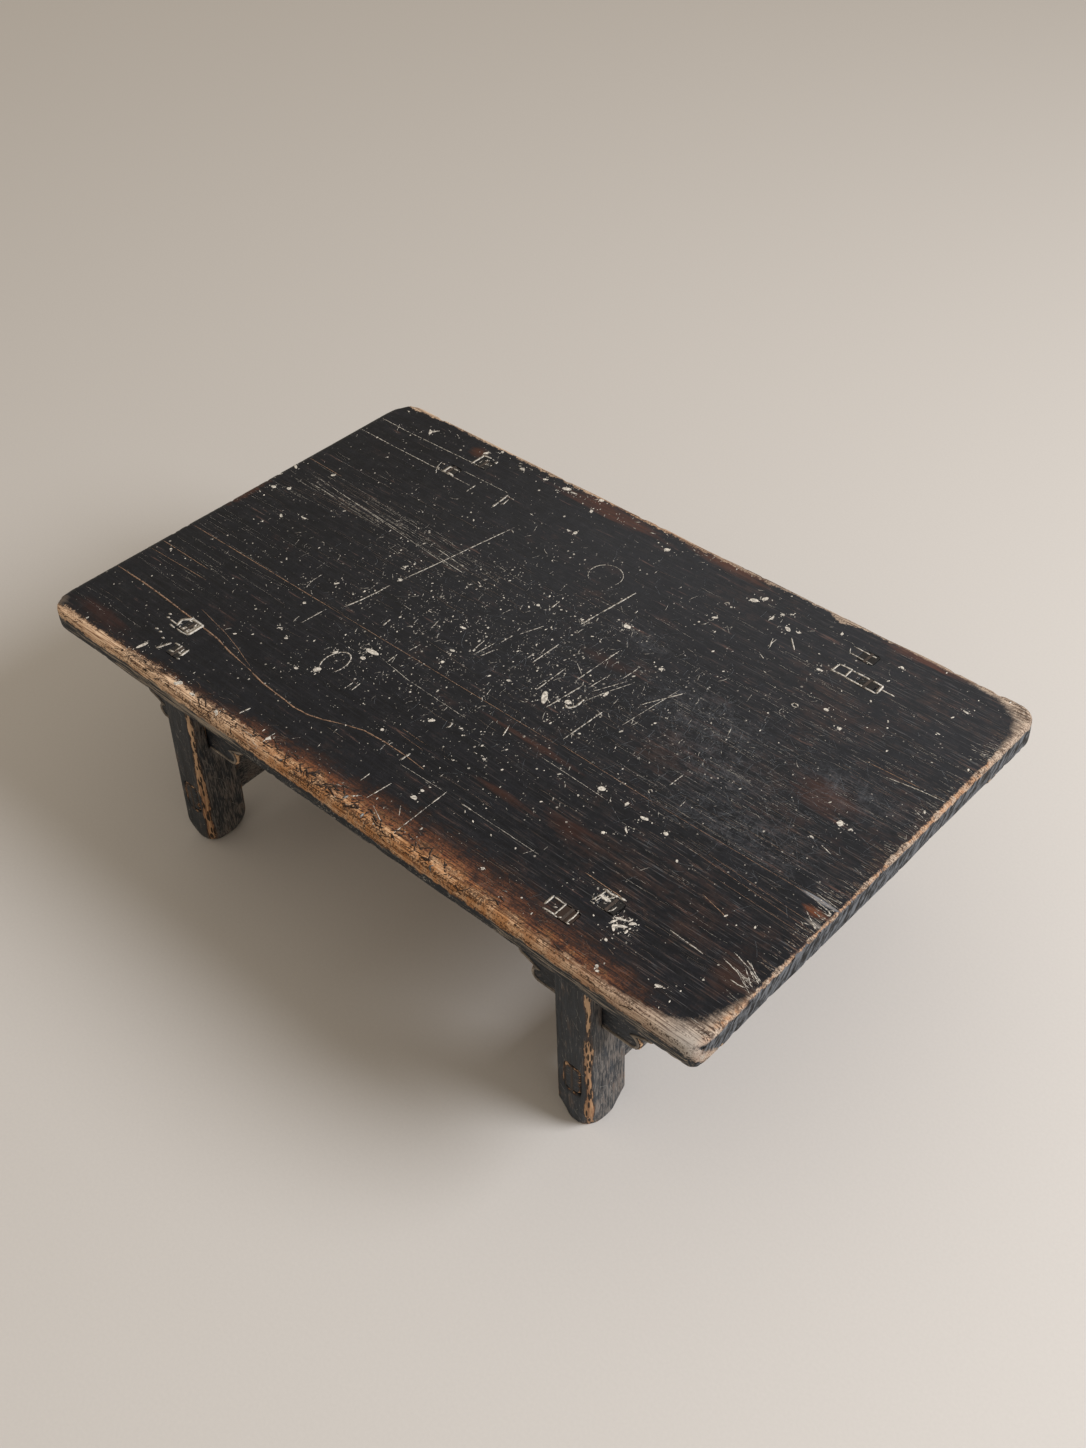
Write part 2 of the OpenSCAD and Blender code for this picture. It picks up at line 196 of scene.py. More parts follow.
# Paint left round the ends of the eight leg tenons
TENON_PAINT = (
    (2.2, (746.5, 41), (746.5, 55)), (1.4, (748, 54), (763, 53.5)), (1.5, (762, 55), (762, 36)),
    (1.8, (748, 37), (763, 37.5)), (1.4, (762, 37), (770, 36.5), (781, 38)), (1.5, (762, 54.5), (778, 54)),
    (1.5, (777, 55), (778, 47), (777, 38)), (2.0, (755, 44), (759, 46)),
    (2.4, (776, 92.5), (785.5, 91.5), (795.5, 93.5), (802, 94.5)), (1.5, (779.5, 91), (776.5, 74)),
    (1.3, (781, 87), (780, 75)), (1.2, (791, 91), (786, 84)),
    (1.4, (776, 72), (797, 73.8), (799.5, 75.5), (799.5, 83)), (3.2, (151.5, 73), (147, 86)),
    (3.4, (147, 83), (157, 94.5)), (3.3, (154, 92.5), (177, 92)), (4.4, (174, 94), (174, 70)),
    (3.0, (171, 92), (170.5, 74)), (2.4, (165, 91), (169.5, 84)), (3.4, (176, 73.5), (156, 75)),
    (2.6, (160, 74), (149, 75.5)), (2.0, (169, 77.5), (160, 78)), (2.0, (152, 89), (160, 89)),
    (1.7, (156, 70), (165, 69.5), (173, 70.5)), (1.7, (137, 75.5), (149, 75)), (1.8, (143, 70), (153, 69)),
    (2.4, (126.5, 81), (131, 82)), (2.4, (130, 75.5), (134.5, 77)), (2.4, (136, 55), (141, 55.5)),
    (2.2, (144, 54), (148.5, 55)), (2.2, (155, 49), (159.5, 50)), (2.6, (168, 40.5), (172, 50)),
    (2.6, (165.5, 33), (169, 42)), (2.2, (179.5, 40.5), (188, 42), (189, 47)),
    (2.0, (174.5, 53), (183, 53.5)), (2.1, (192.5, 36.5), (201.5, 38.5)), (3.8, (178.5, 35), (183, 36.5)),
    (2.2, (186.5, 45), (185, 55)), (2.4, (183.5, 53.5), (199, 54)), (3.6, (196.5, 55.5), (197, 42.5)),
    (2.2, (198, 44.5), (185, 45.5)), (1.7, (191, 53), (192, 46)), (2.0, (753, 491), (754, 507)),
    (2.0, (753, 506), (770, 507)), (2.0, (769, 508), (770, 492)), (2.0, (771, 493), (752, 492)),
    (2.3, (769, 506), (810, 506)), (2.1, (769, 492), (811, 491)), (3.0, (809, 507), (811, 491)),
    (1.6, (810, 500), (828, 500)), (1.6, (748, 541), (786, 540)), (1.4, (751, 529), (781, 528)),
    (2.5, (175, 525), (175, 550)), (2.4, (174, 549), (187, 550)), (3.0, (198, 550), (199, 526)),
    (2.3, (179, 526), (199, 526)), (3.0, (146, 491), (177, 491)), (2.1, (146, 502), (177, 503)),
    (2.6, (160, 490), (160, 504)),
)  # fmt: skip

# Tan lines along the grain, where joints, checks and one long crack have opened
CHECKS = (
    (1.7, (0, 98), (60, 98), (104, 96), (150, 93), (174, 91), (204, 89), (233, 83), (267, 79)),
    (1.5, (267, 79), (300, 73), (330, 71), (358, 69), (378, 71), (395, 76), (419, 86)),
    (1.3, (419, 86), (442, 93.5), (470, 95.5), (503, 95.5)), (0.7, (503, 95.5), (531, 93.5)),
    (0.9, (0, 209), (270, 209.5)), (0.6, (270, 209.5), (610, 210)), (0.5, (610, 213), (740, 211)),
    (0.4, (740, 211), (958, 214)), (0.5, (149, 111), (205, 101), (232, 94), (270, 82)),
    (0.8, (3, 165), (95, 164)), (0.6, (3, 146), (110, 149)), (0.7, (4, 400), (70, 398)),
    (0.7, (862, 398), (925, 401)), (0.8, (747, 96), (800, 95)), (0.3, (470, 122), (507, 121)),
    (0.25, (470, 115), (510, 113)), (0.6, (850, 148), (885, 140)), (0.3, (800, 186), (958, 178)),
    (0.3, (820, 192), (950, 186)), (0.3, (845, 172), (950, 170)),
)  # fmt: skip

# Ring-shaped rubs: the width, the centre, the half-widths, and the first and last degree
RINGS = (
    (1.5, 336, 148, 13.5, 20, -40, 250), (1.0, 458, 460, 21, 20, -20, 240),
    (1.1, 725, 221, 2.8, 2.8, 0, 300), (1.2, 597, 510, 3, 3, 0, 300), (1.4, 757, 420, 4, 3, 0, 330),
    (0.9, 955, 209, 5, 3, 0, 300), (0.8, 366, 6, 10, 4, 150, 380), (0.7, 378, 5, 12, 5, 170, 350),
    (0.7, 353, 8, 8, 3, 0, 200), (0.6, 372, 8, 9, 3, 180, 370),
)  # fmt: skip

# Flecks of old lime and plaster: X, Y, length, width, turn from the X axis in degrees
FLECKS = (
    (549, 256, 25, 8, 124), (573, 267, 9, 8, 0), (595, 303, 11, 4, 95), (283, 298, 6, 5, 60),
    (436, 368, 5, 5, 0), (400, 283, 10, 4, 10), (419, 247, 8, 4, 10), (425, 226, 5, 5, 0),
    (501, 251, 5, 4, 40), (354, 187, 22, 8, 5), (354, 173, 8, 6, 0), (330, 127, 11, 9, 60),
    (323, 160, 9, 4, 70), (311, 113, 6, 4, 30), (455, 107, 5, 5, 0), (484, 151, 9, 5, 50),
    (567, 145, 5, 4, 0), (552, 71, 5, 4, 0), (553, 59, 8, 6, 0), (375, 19, 7, 5, 70), (686, 192, 10, 8, 30),
    (719, 192, 5, 5, 0), (745, 188, 11, 5, 10), (774, 186, 7, 5, 0), (742, 164, 9, 2, 140),
    (727, 147, 5, 4, 60), (893, 309, 10, 7, 120), (905, 308, 6, 3, 60), (882, 276, 4, 3, 0),
    (616, 535, 12, 7, 20), (624, 545, 10, 6, 70), (604, 508, 3, 3, 0), (676, 518, 10, 6, 150),
    (689, 521, 6, 4, 30), (656, 535, 6, 4, 50), (664, 542, 6, 3, 20), (651, 523, 8, 3, 100),
    (602, 481, 9, 4, 30), (743, 484, 9, 4, 0), (808, 545, 7, 4, 150), (726, 550, 5, 3, 90),
    (233, 558, 10, 5, 0), (83, 543, 12, 5, 120), (86, 548, 8, 3, 60), (375, 500, 7, 6, 100),
    (366, 498, 4, 4, 0), (270, 560, 6, 5, 0), (305, 562, 14, 8, 20), (318, 561, 12, 3, 10),
    (354, 571, 8, 6, 0), (360, 546, 8, 5, 120), (187, 570, 6, 4, 150), (173, 555, 10, 5, 60),
    (40, 337, 7, 6, 0), (22, 327, 9, 6, 0), (60, 393, 7, 5, 40), (77, 292, 9, 4, 140), (103, 307, 9, 3, 10),
    (9, 375, 11, 4, 150), (538, 405, 12, 7, 0), (480, 545, 9, 7, 20), (786, 436, 7, 5, 0),
    (613, 373, 6, 5, 0), (888, 37, 9, 4, 20), (672, 35, 4, 5, 0), (818, 46, 5, 3, 140), (832, 18, 4, 4, 0),
    (836, 14, 4, 3, 0), (812, 74, 14, 3, 20), (818, 68, 16, 4, 30), (814, 62, 10, 4, 130),
    (824, 77, 9, 4, 50), (820, 79, 8, 2.5, 80), (809, 68, 9, 3, 70), (826, 66, 7, 3, 100),
    (233, 14, 8, 7, 30), (230, 10, 7, 4, 0), (258, 11, 8, 4, 10), (301, 9, 9, 5, 150), (230, 196, 5, 5, 0),
    (231, 245, 8, 3, 60), (244, 148, 7, 3, 30), (263, 140, 6, 3, 20), (29, 160, 5, 4, 80),
    (269, 320, 8, 3, 70), (150, 26, 18, 5, 80), (188, 540, 14, 3, 120), (894, 481, 6, 2, 0),
    (898, 528, 9, 3, 165), (813, 421, 6, 5, 60), (785, 84, 16, 5, 0),
)  # fmt: skip

# Grey and pale chips that stick to the bare front edge, as above
EDGE_CHIPS = (
    (434, 6, 7, 3, 60), (445, 6, 6, 3, 120), (463, 6, 7, 3, 70), (485, 4, 6, 4, 110), (530, 6, 9, 3, 80),
    (543, 4, 6, 6, 90), (569, 3, 5, 7, 80), (594, 4, 6, 6, 90), (633, 5, 5, 6, 100), (500, 14, 7, 3, 70),
    (652, 6, 6, 2, 60), (408, 6, 5, 3, 90),
)  # fmt: skip

# Stains: X, Y, half-widths, colour and strength
STAINS = (
    (5, 300, 16, 70, "#4a2c1e", 0.6),
    (70, 30, 90, 24, "#3d2118", 0.45),
    (8, 10, 20, 26, "#74675b", 0.75),
    (942, 199, 24, 11, "#6b3c22", 0.8),
    (936, 214, 40, 5, "#85868a", 0.9),
    (950, 187, 20, 6, "#8f8a85", 0.85),
    (380, 560, 130, 26, "#4a2a1c", 0.85),
    (560, 568, 110, 18, "#52301f", 0.75),
    (825, 572, 90, 14, "#57301f", 0.65),
    (165, 550, 24, 18, "#4a2c1e", 0.7),
    (860, 330, 70, 40, "#3f261c", 0.6),
    (700, 130, 60, 20, "#3c231a", 0.5),
    (560, 345, 70, 16, "#3f261c", 0.35),
    (930, 90, 40, 40, "#3c2820", 0.6),
    (590, 195, 120, 8, "#4b2c1e", 0.4),
    (620, 120, 80, 10, "#46291c", 0.5),
)

# Blue-grey haze of scuffed lacquer with a painted sheen of the lamp over it: X, Y and half-widths
SCUFF_HAZE_AND_SHEEN = (
    (695, 345, 110, 48),
    (750, 293, 110, 50),
    (830, 238, 130, 48),
    (880, 350, 90, 40),
    (565, 400, 60, 26),
)

# How the feet are worn round, in the order of the legs: the height and the depth of the
# wear in millimetres, and how late the corners turn in
FEET = ((26, 4.0, 1.6), (26, 1.2, 0.9), (20, 2.0, 2.4), (20, 2.0, 2.4))

# Loose strokes: the set, how many, their middle, its spread, their turn from the X axis
# and its spread in degrees, the longest and the widest
LOOSE_STROKES = (
    ("pale", 14, (946, 97), (8, 9), -20, 12, 46, 1.2),
    ("pale", 9, (945, 182), (8, 8), -14, 12, 40, 1.0),
    ("pale", 9, (944, 212), (8, 7), -4, 9, 40, 0.8),
    ("pale", 10, (948, 492), (8, 9), 8, 9, 38, 0.6),
    ("pale", 16, (501, 377), (5, 4), 70, 40, 12, 0.7),
    ("pale", 18, (545, 407), (9, 6), 60, 60, 10, 0.6),
    ("pale", 12, (340, 186), (8, 4), 20, 60, 10, 0.7),
    ("pale", 10, (568, 302), (7, 5), 60, 50, 10, 0.7),
    ("pale", 12, (638, 404), (9, 5), 50, 60, 9, 0.5),
    ("pale", 14, (792, 86), (7, 5), 60, 70, 8, 0.6),
    ("pale", 110, (460, 275), (150, 100), 95, 60, 7, 1.5),
    ("pale", 50, (420, 300), (230, 130), 30, 60, 6, 1.4),
    ("fine", 340, (450, 285), (170, 105), 105, 35, 14, 1.15),
    ("fine", 160, (480, 290), (330, 200), 90, 60, 12, 0.9),
    ("fine", 200, (800, 320), (110, 130), 0, 1.5, 60, 0.4),
    ("fine", 60, (190, 371), (90, 11), -3, 1.5, 110, 0.55),
    ("fine", 70, (60, 230), (45, 120), 0, 1.5, 110, 0.3),
    ("fine", 130, (950, 300), (6, 170), 0, 8, 24, 0.6),
    ("tan", 150, (800, 260), (130, 170), 0, 1.5, 80, 0.36),
    ("tan", 130, (951, 280), (5, 180), 0, 5, 26, 0.7),
    ("tan", 90, (180, 360), (120, 40), 0, 2.0, 90, 0.35),
    ("tan", 60, (300, 300), (200, 160), 0, 3.0, 50, 0.35),
    ("tan", 160, (560, 26), (190, 9), 8, 16, 16, 0.4),
    ("scuffs", 420, (715, 325), (65, 40), 40, 60, 24, 0.34),
    ("scuffs", 320, (820, 245), (60, 40), 20, 40, 26, 0.3),
    ("scuffs", 260, (870, 350), (55, 70), 10, 30, 26, 0.3),
    ("scuffs", 420, (520, 300), (110, 80), 70, 60, 22, 0.3),
    ("scuffs", 250, (480, 290), (250, 150), 90, 60, 20, 0.3),
    ("nicks", 90, (190, 9), (100, 6), 5, 25, 14, 1.9),
    ("nicks", 120, (420, 9), (90, 7), 8, 30, 16, 2.1),
    ("nicks", 110, (600, 9), (90, 7), 8, 30, 16, 2.1),
    ("pale", 60, (400, 562), (190, 8), 20, 60, 8, 1.3),
)


def srgb(text):
    """Turns an sRGB hex value into a linear colour with alpha."""
    parts = [int(text[i : i + 2], 16) / 255 for i in (1, 3, 5)]
    return (*[c / 12.92 if c <= 0.04045 else ((c + 0.055) / 1.055) ** 2.4 for c in parts], 1.0)


def join(tree, node, inputs):
    """Gives a node its inputs: a list in order, or a dict by name, of values, hex colours,
    nodes or sockets. Only sockets in use count, and a node stands for its first output."""
    sockets = [socket for socket in node.inputs if socket.enabled]
    if isinstance(inputs, dict):
        sockets = [next(s for s in sockets if s.name == name) for name in inputs]
        inputs = inputs.values()
    for socket, value in zip(sockets, inputs):
        if isinstance(value, bpy.types.Node):
            value = next(s for s in value.outputs if s.enabled)
        if isinstance(value, bpy.types.NodeSocket):
            tree.links.new(value, socket)
        else:
            is_colour = isinstance(value, str) and value.startswith("#")
            socket.default_value = srgb(value) if is_colour else value


def add(tree, kind, inputs=(), **settings):
    """Adds a node with its settings and inputs. Its kind is a type, or a type and the
    settings that go with it."""
    name, fixed = (kind, {}) if isinstance(kind, str) else kind
    made = tree.nodes.new(name)
    for label, value in {**fixed, **settings}.items():
        setattr(made, label, value)
    join(tree, made, inputs)
    return made


# Geometry: even copies of the frame's pieces, worn on their arrises


def new_object(name, data):
    """A new object in the scene."""
    made = bpy.data.objects.new(name, data)
    bpy.context.scene.collection.objects.link(made)
    return made


def plain_mesh(source):
    """The mesh that an object's modifiers make of it. The object is removed."""
    graph = bpy.context.evaluated_depsgraph_get()
    made = bpy.data.meshes.new_from_object(source.evaluated_get(graph))
    bpy.data.objects.remove(source)
    return made


def even_mesh(mesh, cell):
    """A copy of a mesh in even quads, cell metres wide."""
    coarse = new_object("coarse", mesh)
    remesh = coarse.modifiers.new("even", "REMESH")
    remesh.mode = "VOXEL"
    remesh.voxel_size = cell
    return plain_mesh(coarse)


def welded_copy(node):
    """The mesh of a node of the frame with its loose triangles joined."""
    mesh = frame["nodes"][node].data.copy()
    welded = bmesh.new()
    welded.from_mesh(mesh)
    bmesh.ops.remove_doubles(welded, verts=welded.verts, dist=1e-6)
    welded.to_mesh(mesh)
    welded.free()
    return mesh


def rows_of(data, field):
    """The points or normals of a mesh, one to a row."""
    values = np.empty(len(data) * 3, np.float32)
    data.foreach_get(field, values)
    return values.reshape(-1, 3).astype(float)


def move_points(mesh, co):
    """Puts the points of a mesh in new places."""
    mesh.vertices.foreach_set("co", co.astype(np.float32).ravel())


def label_points(mesh, label, values):
    """Gives each point of a mesh a number or a vector of its own."""
    values = np.array(values, np.float32)
    kind, field = ("FLOAT", "value") if values.ndim == 1 else ("FLOAT_VECTOR", "vector")
    mesh.attributes.new(label, kind, "POINT").data.foreach_set(field, values.ravel())


def smoothed(mesh, co, rounds):
    """The points after some rounds of averaging with their neighbours."""
    edges = np.empty(len(mesh.edges) * 2, np.int32)
    mesh.edges.foreach_get("vertices", edges)
    a, b = edges.reshape(-1, 2).T
    count = np.bincount(edges, minlength=len(co))
    for _ in range(rounds):
        total = [np.bincount(a, co[b, k], len(co)) + np.bincount(b, co[a, k], len(co)) for k in range(3)]
        co = (np.stack(total) / count).T
    return co


def rough(co, size, seed):
    """Smooth noise at each point, about -1 to 1, with features of the given size in
    metres along X, Y and Z."""
    scaled = co / np.array(size) + seed * SEED_GAP
    return np.array([noise.noise(p) for p in scaled.tolist()])


def top_dip(co):
    """How far the worn upper face lies under the level of the new one."""
    return (0.25 + 0.2 * (1 + rough(co * (1, 1, 0), (0.2, 0.045, 1.0), 9))) * MM


def held_inside(mesh, low, high):
    """Moves the points of a mesh that stand out of a box back to its sides."""
    move_points(mesh, np.clip(rows_of(mesh.vertices, "co"), np.array(low), np.array(high)))
    mesh.update()


def arrises_of(mesh, cell):
    """The points of a mesh and their normals, the points smoothed, and how far each
    stands out of the smoothed form in cells, which is most on an arris."""
    co, normals = rows_of(mesh.vertices, "co"), rows_of(mesh.vertex_normals, "vector")
    soft = smoothed(mesh, co, SMOOTHING)
    return co, normals, soft, ((co - soft) * normals).sum(1) / cell


def finish_piece(name, mesh, node, material):
    """Makes the piece that stands for a node of the frame."""
    held_inside(mesh, *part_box(node))
    mesh.materials.clear()
    mesh.materials.append(material)
    mesh.shade_smooth()
    mesh.set_sharp_from_angle(angle=SHARP_ANGLE)
    piece = new_object(name, mesh)
    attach(piece, BODY)
    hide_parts(node)


def near_arrises(co, bands):
    """How near each point is to the long arrises of a leg: 1 on the arris, 0 at the
    band's width from it. A band is the side in X, the side in Y and the width."""
    near = np.zeros(len(co))
    for sign_x, sign_y, width in bands:
        gap = 0
        for axis, sign in ((0, sign_x), (1, sign_y)):
            outward = co[:, axis] * sign
            low = outward[np.abs(co[:, 2] - LEG_LOW) < LEG_SLICE].max()
            high = outward[np.abs(co[:, 2] - LEG_HIGH) < LEG_SLICE].max()
            side = low + (high - low) * (co[:, 2] - LEG_LOW) / (LEG_HIGH - LEG_LOW)
            gap = np.maximum(gap, side - outward)
        near = np.maximum(near, 1 - gap / (width * (1.15 - co[:, 2] / (0.5 * TOP_Z) * 0.25)))
    return near


def rounded_foot(co, height, inset, lateness):
    """The points of a leg with its foot drawn in towards a smaller, oval sole."""
    low = co[:, 2] < height
    middle = (co[low, :2].min(0) + co[low, :2].max(0)) / 2
    half = (co[low, :2].max(0) - co[low, :2].min(0)) / 2
    rise = 1 - co[low, 2] / height
    drawn_in = np.clip((rise - 0.4) / 0.6, 0, 1)
    curve = 1 - np.sqrt(1 - drawn_in**2)
    away = (co[low, :2] - middle) / half
    corner = 1 - 1 / np.maximum(1, np.hypot(*away.T) / 0.95)
    share = 1 - (inset * curve)[:, None] / half
    co[low, :2] = middle + away * half * share * (1 - corner * rise**lateness)[:, None]
    return co


def worn_piece(node, cell, wear, seed, material, bands=(), foot=()):
    """A copy of a node with its arrises rubbed down unevenly and nicked."""
    mesh = even_mesh(welded_copy(node), cell)
    co, normals, soft, arris = arrises_of(mesh, cell)
    rub = np.clip(0.45 + 0.8 * rough(co, (0.05, 0.05, 0.07), seed), 0, 1) * wear
    rub *= np.clip((TOP_Z - PLANK - co[:, 2]) / (10 * MM), 0, 1)
    co = co + (soft - co) * (np.clip(arris, 0, 1) * rub)[:, None]
    if not bands:
        arris = arris * (0.4 if node in STRETCHERS else 0.7)
    nick = np.clip(rough(co, (0.009, 0.009, 0.016), seed + 1) - 0.3, 0, 1)
    co = co - normals * (nick * np.clip(arris, 0, 1) * wear * NICK * MM)[:, None]
    dent = rough(co, (0.03, 0.03, 0.06), seed + 2)
    co = co - normals * ((0.5 + 0.5 * dent) * DENT * MM)[:, None]
    if bands:
        near = near_arrises(co, bands)
        near = np.maximum(near, 0.5 - co[:, 2] / (16 * MM))
        arris = np.maximum(arris * 0.4, near)
        height, inset, lateness = foot
        co = rounded_foot(co, height * MM, inset * MM, lateness)
    flush = co[:, 2] > TOP_Z - 1.5 * MM
    co[flush, 2] = TOP_Z - top_dip(co[flush])
    move_points(mesh, co)
    label_points(mesh, "arris", np.clip(arris, 0, 1))
    finish_piece("worn_" + node, mesh, node, material)


def worn_plank(node, cell, wear, material):
    """A plank of the top, rubbed down round the outline of the top but crisp at its
    seams. It is made too wide, worn, and then cut back to each seam."""
    low, high = (np.array(corner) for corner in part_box(node))
    seams = [(low[1], -1), (high[1], 1)]
    seams = [(y, sign) for y, sign in seams if abs(abs(y) - HIGH[1]) > MM]
    wide = welded_copy(node)
    co = rows_of(wide.vertices, "co")
    for y, sign in seams:
        co[np.abs(co[:, 1] - y) < 0.01 * MM, 1] += sign * SPARE_CELLS * cell
    move_points(wide, co)
    mesh = even_mesh(wide, cell)
    co, normals, soft, arris = arrises_of(mesh, cell)
    inside = np.minimum(co[:, :2] - LOW[:2], HIGH[:2] - co[:, :2]).min(1)
    outline_band_or_lit_side = np.clip((30 * MM - inside) / (8 * MM), 0, 1)
    edge = np.clip(arris, 0, 1) * outline_band_or_lit_side
    softer = smoothed(mesh, soft, 12)
    left = np.clip((LOW[0] + 14 * MM - co[:, 0]) / (8 * MM), 0, 1)
    co = co + (softer - co) * (0.8 * left * np.clip(arris * 3, 0, 1))[:, None]
    rub = np.clip(0.5 + 0.8 * rough(co, (0.07, 0.07, 0.07), 1), 0, 1) * wear
    co = co + (soft - co) * (edge * rub)[:, None]
    nick = np.clip(rough(co, (0.012, 0.007, 0.008), 2) - 0.25, 0, 1)
    co = co - normals * (nick * edge * wear * TOP_NICK * MM)[:, None]
    wave = 0.5 + 0.5 * rough(co, (0.11, 0.11, 0.05), 4)
    side = np.clip(1 - np.abs(normals[:, 2]) * 1.5, 0, 1) * outline_band_or_lit_side
    co[:, :2] -= normals[:, :2] * (wave * side * TOP_WAVE * MM)[:, None]
    face = np.clip((co[:, 2] - TOP_Z + 3 * MM) / (2 * MM), 0, 1)
    co[:, 2] -= face * top_dip(co)
    move_points(mesh, co)
    cut = bmesh.new()
    cut.from_mesh(mesh)
    for y, sign in seams:
        parts = cut.verts[:] + cut.edges[:] + cut.faces[:]
        found = bmesh.ops.bisect_plane(
            cut, geom=parts, dist=0.05 * MM, plane_co=(0, y, 0), plane_no=(0, sign, 0), clear_outer=True
        )
        rim = [part for part in found["geom_cut"] if isinstance(part, bmesh.types.BMEdge)]
        bmesh.ops.triangle_fill(cut, use_beauty=True, edges=rim)
    bmesh.ops.recalc_face_normals(cut, faces=cut.faces)
    cut.to_mesh(mesh)
    cut.free()
    finish_piece("worn_" + node, mesh, node, material)


# Shader groups shared by the lacquers


def new_group(name, inputs):
    """An empty group with one Mask output, what adds a node to it, and its input sockets."""
    tree = bpy.data.node_groups.new(name, "ShaderNodeTree")
    for label, kind in inputs:
        tree.interface.new_socket(label, in_out="INPUT", socket_type=f"NodeSocket{kind}")
    tree.interface.new_socket("Mask", in_out="OUTPUT", socket_type="NodeSocketFloat")
    given = tree.nodes.new("NodeGroupInput")
    return tree, partial(add, tree), [given.outputs[label] for label, _ in inputs]


def patch_group():
    """A soft oval: 1 at its centre, 0 at its size."""
    tree, put, (point, centre, size) = new_group(
        "patch", [("Point", "Vector"), ("Centre", "Vector"), ("Size", "Vector")]
    )
    away = put(V_MINUS, [point, centre])
    share = put(V_OVER, [away, size])
    gap = put(V_LENGTH, [share]).outputs["Value"]
    mask = put(RANGE, [gap, 1.0, 0.0], interpolation_type="SMOOTHSTEP")
    put("NodeGroupOutput", [mask])
    return tree


def speck_group():
    """Round specks, one to a cell, of mixed sizes and strengths. Density is the share of
    cells used."""
    tree, put, (point, cell, radius, density) = new_group(
        "specks", [("Point", "Vector"), ("Cell", "Float"), ("Radius", "Float"), ("Density", "Float")]
    )
    scale = put(OVER, [1.0, cell])
    cells = put(VORONOI, {"Vector": point, "Scale": scale}, voronoi_dimensions="2D")
    parts = put("ShaderNodeSeparateColor", [cells.outputs["Color"]])
    gap = put(TIMES, [cells.outputs["Distance"], cell])
    size = put(TIMES, [parts.outputs[0], radius])
    lap = put(MINUS, [size, gap])
    shape = put(RANGE, [lap, 0.0, 0.35])
    used = put(BELOW, [parts.outputs[1], density])
    bright = put(TIMES_PLUS, [parts.outputs[2], 0.75, 0.25])
    mask = put(TIMES, [shape, used])
    mask = put(TIMES, [mask, bright])
    put("NodeGroupOutput", [mask])
    return tree


def scratch_group():
    """Short straight scratches, one to a cell, turned by up to Spread about Turn from
    the Y axis."""
    sizes = [(label, "Float") for label in ("Cell", "Width", "Density", "Turn", "Spread")]
    tree, put, given = new_group("scratches", [("Point", "Vector"), *sizes])
    point, cell, width, density, turn, spread = given
    scale = put(OVER, [1.0, cell])
    cells = put(VORONOI, {"Vector": point, "Scale": scale})
    parts = put("ShaderNodeSeparateColor", [cells.outputs["Color"]])
    away = put(V_MINUS, [point, cells.outputs["Position"]])
    lean = put(MINUS, [parts.outputs[0], 0.5])
    angle = put(TIMES_PLUS, [lean, spread, turn])
    turned = put(TURN, {"Vector": away, "Angle": angle})
    place = put(SPLIT, [turned])
    side = put(UNSIGNED, [place.outputs[0]])
    line = put(RANGE, [side, 0.0, width, 1.0, 0.0])
    along = put(UNSIGNED, [place.outputs[1]])
    reach = put(TIMES, [cell, parts.outputs[2]])
    kept = put(BELOW, [along, reach])
    used = put(BELOW, [parts.outputs[1], density])
    shown = put(TIMES, [line, kept])
    mask = put(TIMES, [shown, used])
    put("NodeGroupOutput", [mask])
    return tree


def new_material(name, shift=(0, 0, 0)):
    """A material, what adds a node to it, and a point in millimetres, shifted."""
    material = bpy.data.materials.new(name)
    material.use_nodes = True
    put = partial(add, material.node_tree)
    coords = put("ShaderNodeTexCoord").outputs["Object"]
    point = put("ShaderNodeMapping", {"Vector": coords, "Location": shift, "Scale": (1 / MM,) * 3})
    return material, put, point


def finish_shader(material, inputs):
    """Gives a material's shader its inputs."""
    join(material.node_tree, material.node_tree.nodes["Principled BSDF"], inputs)
    return material


def drawn_noise(put, point, per_mm, detail, roughness=0.5):
    """Noise with its own number of features per millimetre along each axis, so that it is
    drawn out into grain, fibres or strokes along the axis with the fewest."""
    drawn = put(V_TIMES, [point, per_mm])
    return put(NOISE, {"Vector": drawn, "Scale": 1.0, "Detail": detail, "Roughness": roughness})


def along_top(put, x, steps):
    """A value that changes along the length of the top, from given steps of X and
    the value there."""
    most = max(value for _, value in steps)
    share = put(OVER, [x, TOP_SIZE[0]])
    made = put("ShaderNodeFloatCurve", {"Value": share})
    curve = made.mapping.curves[0]
    places = [(place / TOP_SIZE[0], value / most) for place, value in steps]
    curve.points[0].location = places[0]
    curve.points[1].location = places[-1]
    for place in places[1:-1]:
        curve.points.new(*place)
    for point in curve.points:
        point.handle_type = "VECTOR"
    made.mapping.update()
    return put(TIMES, [made, most])


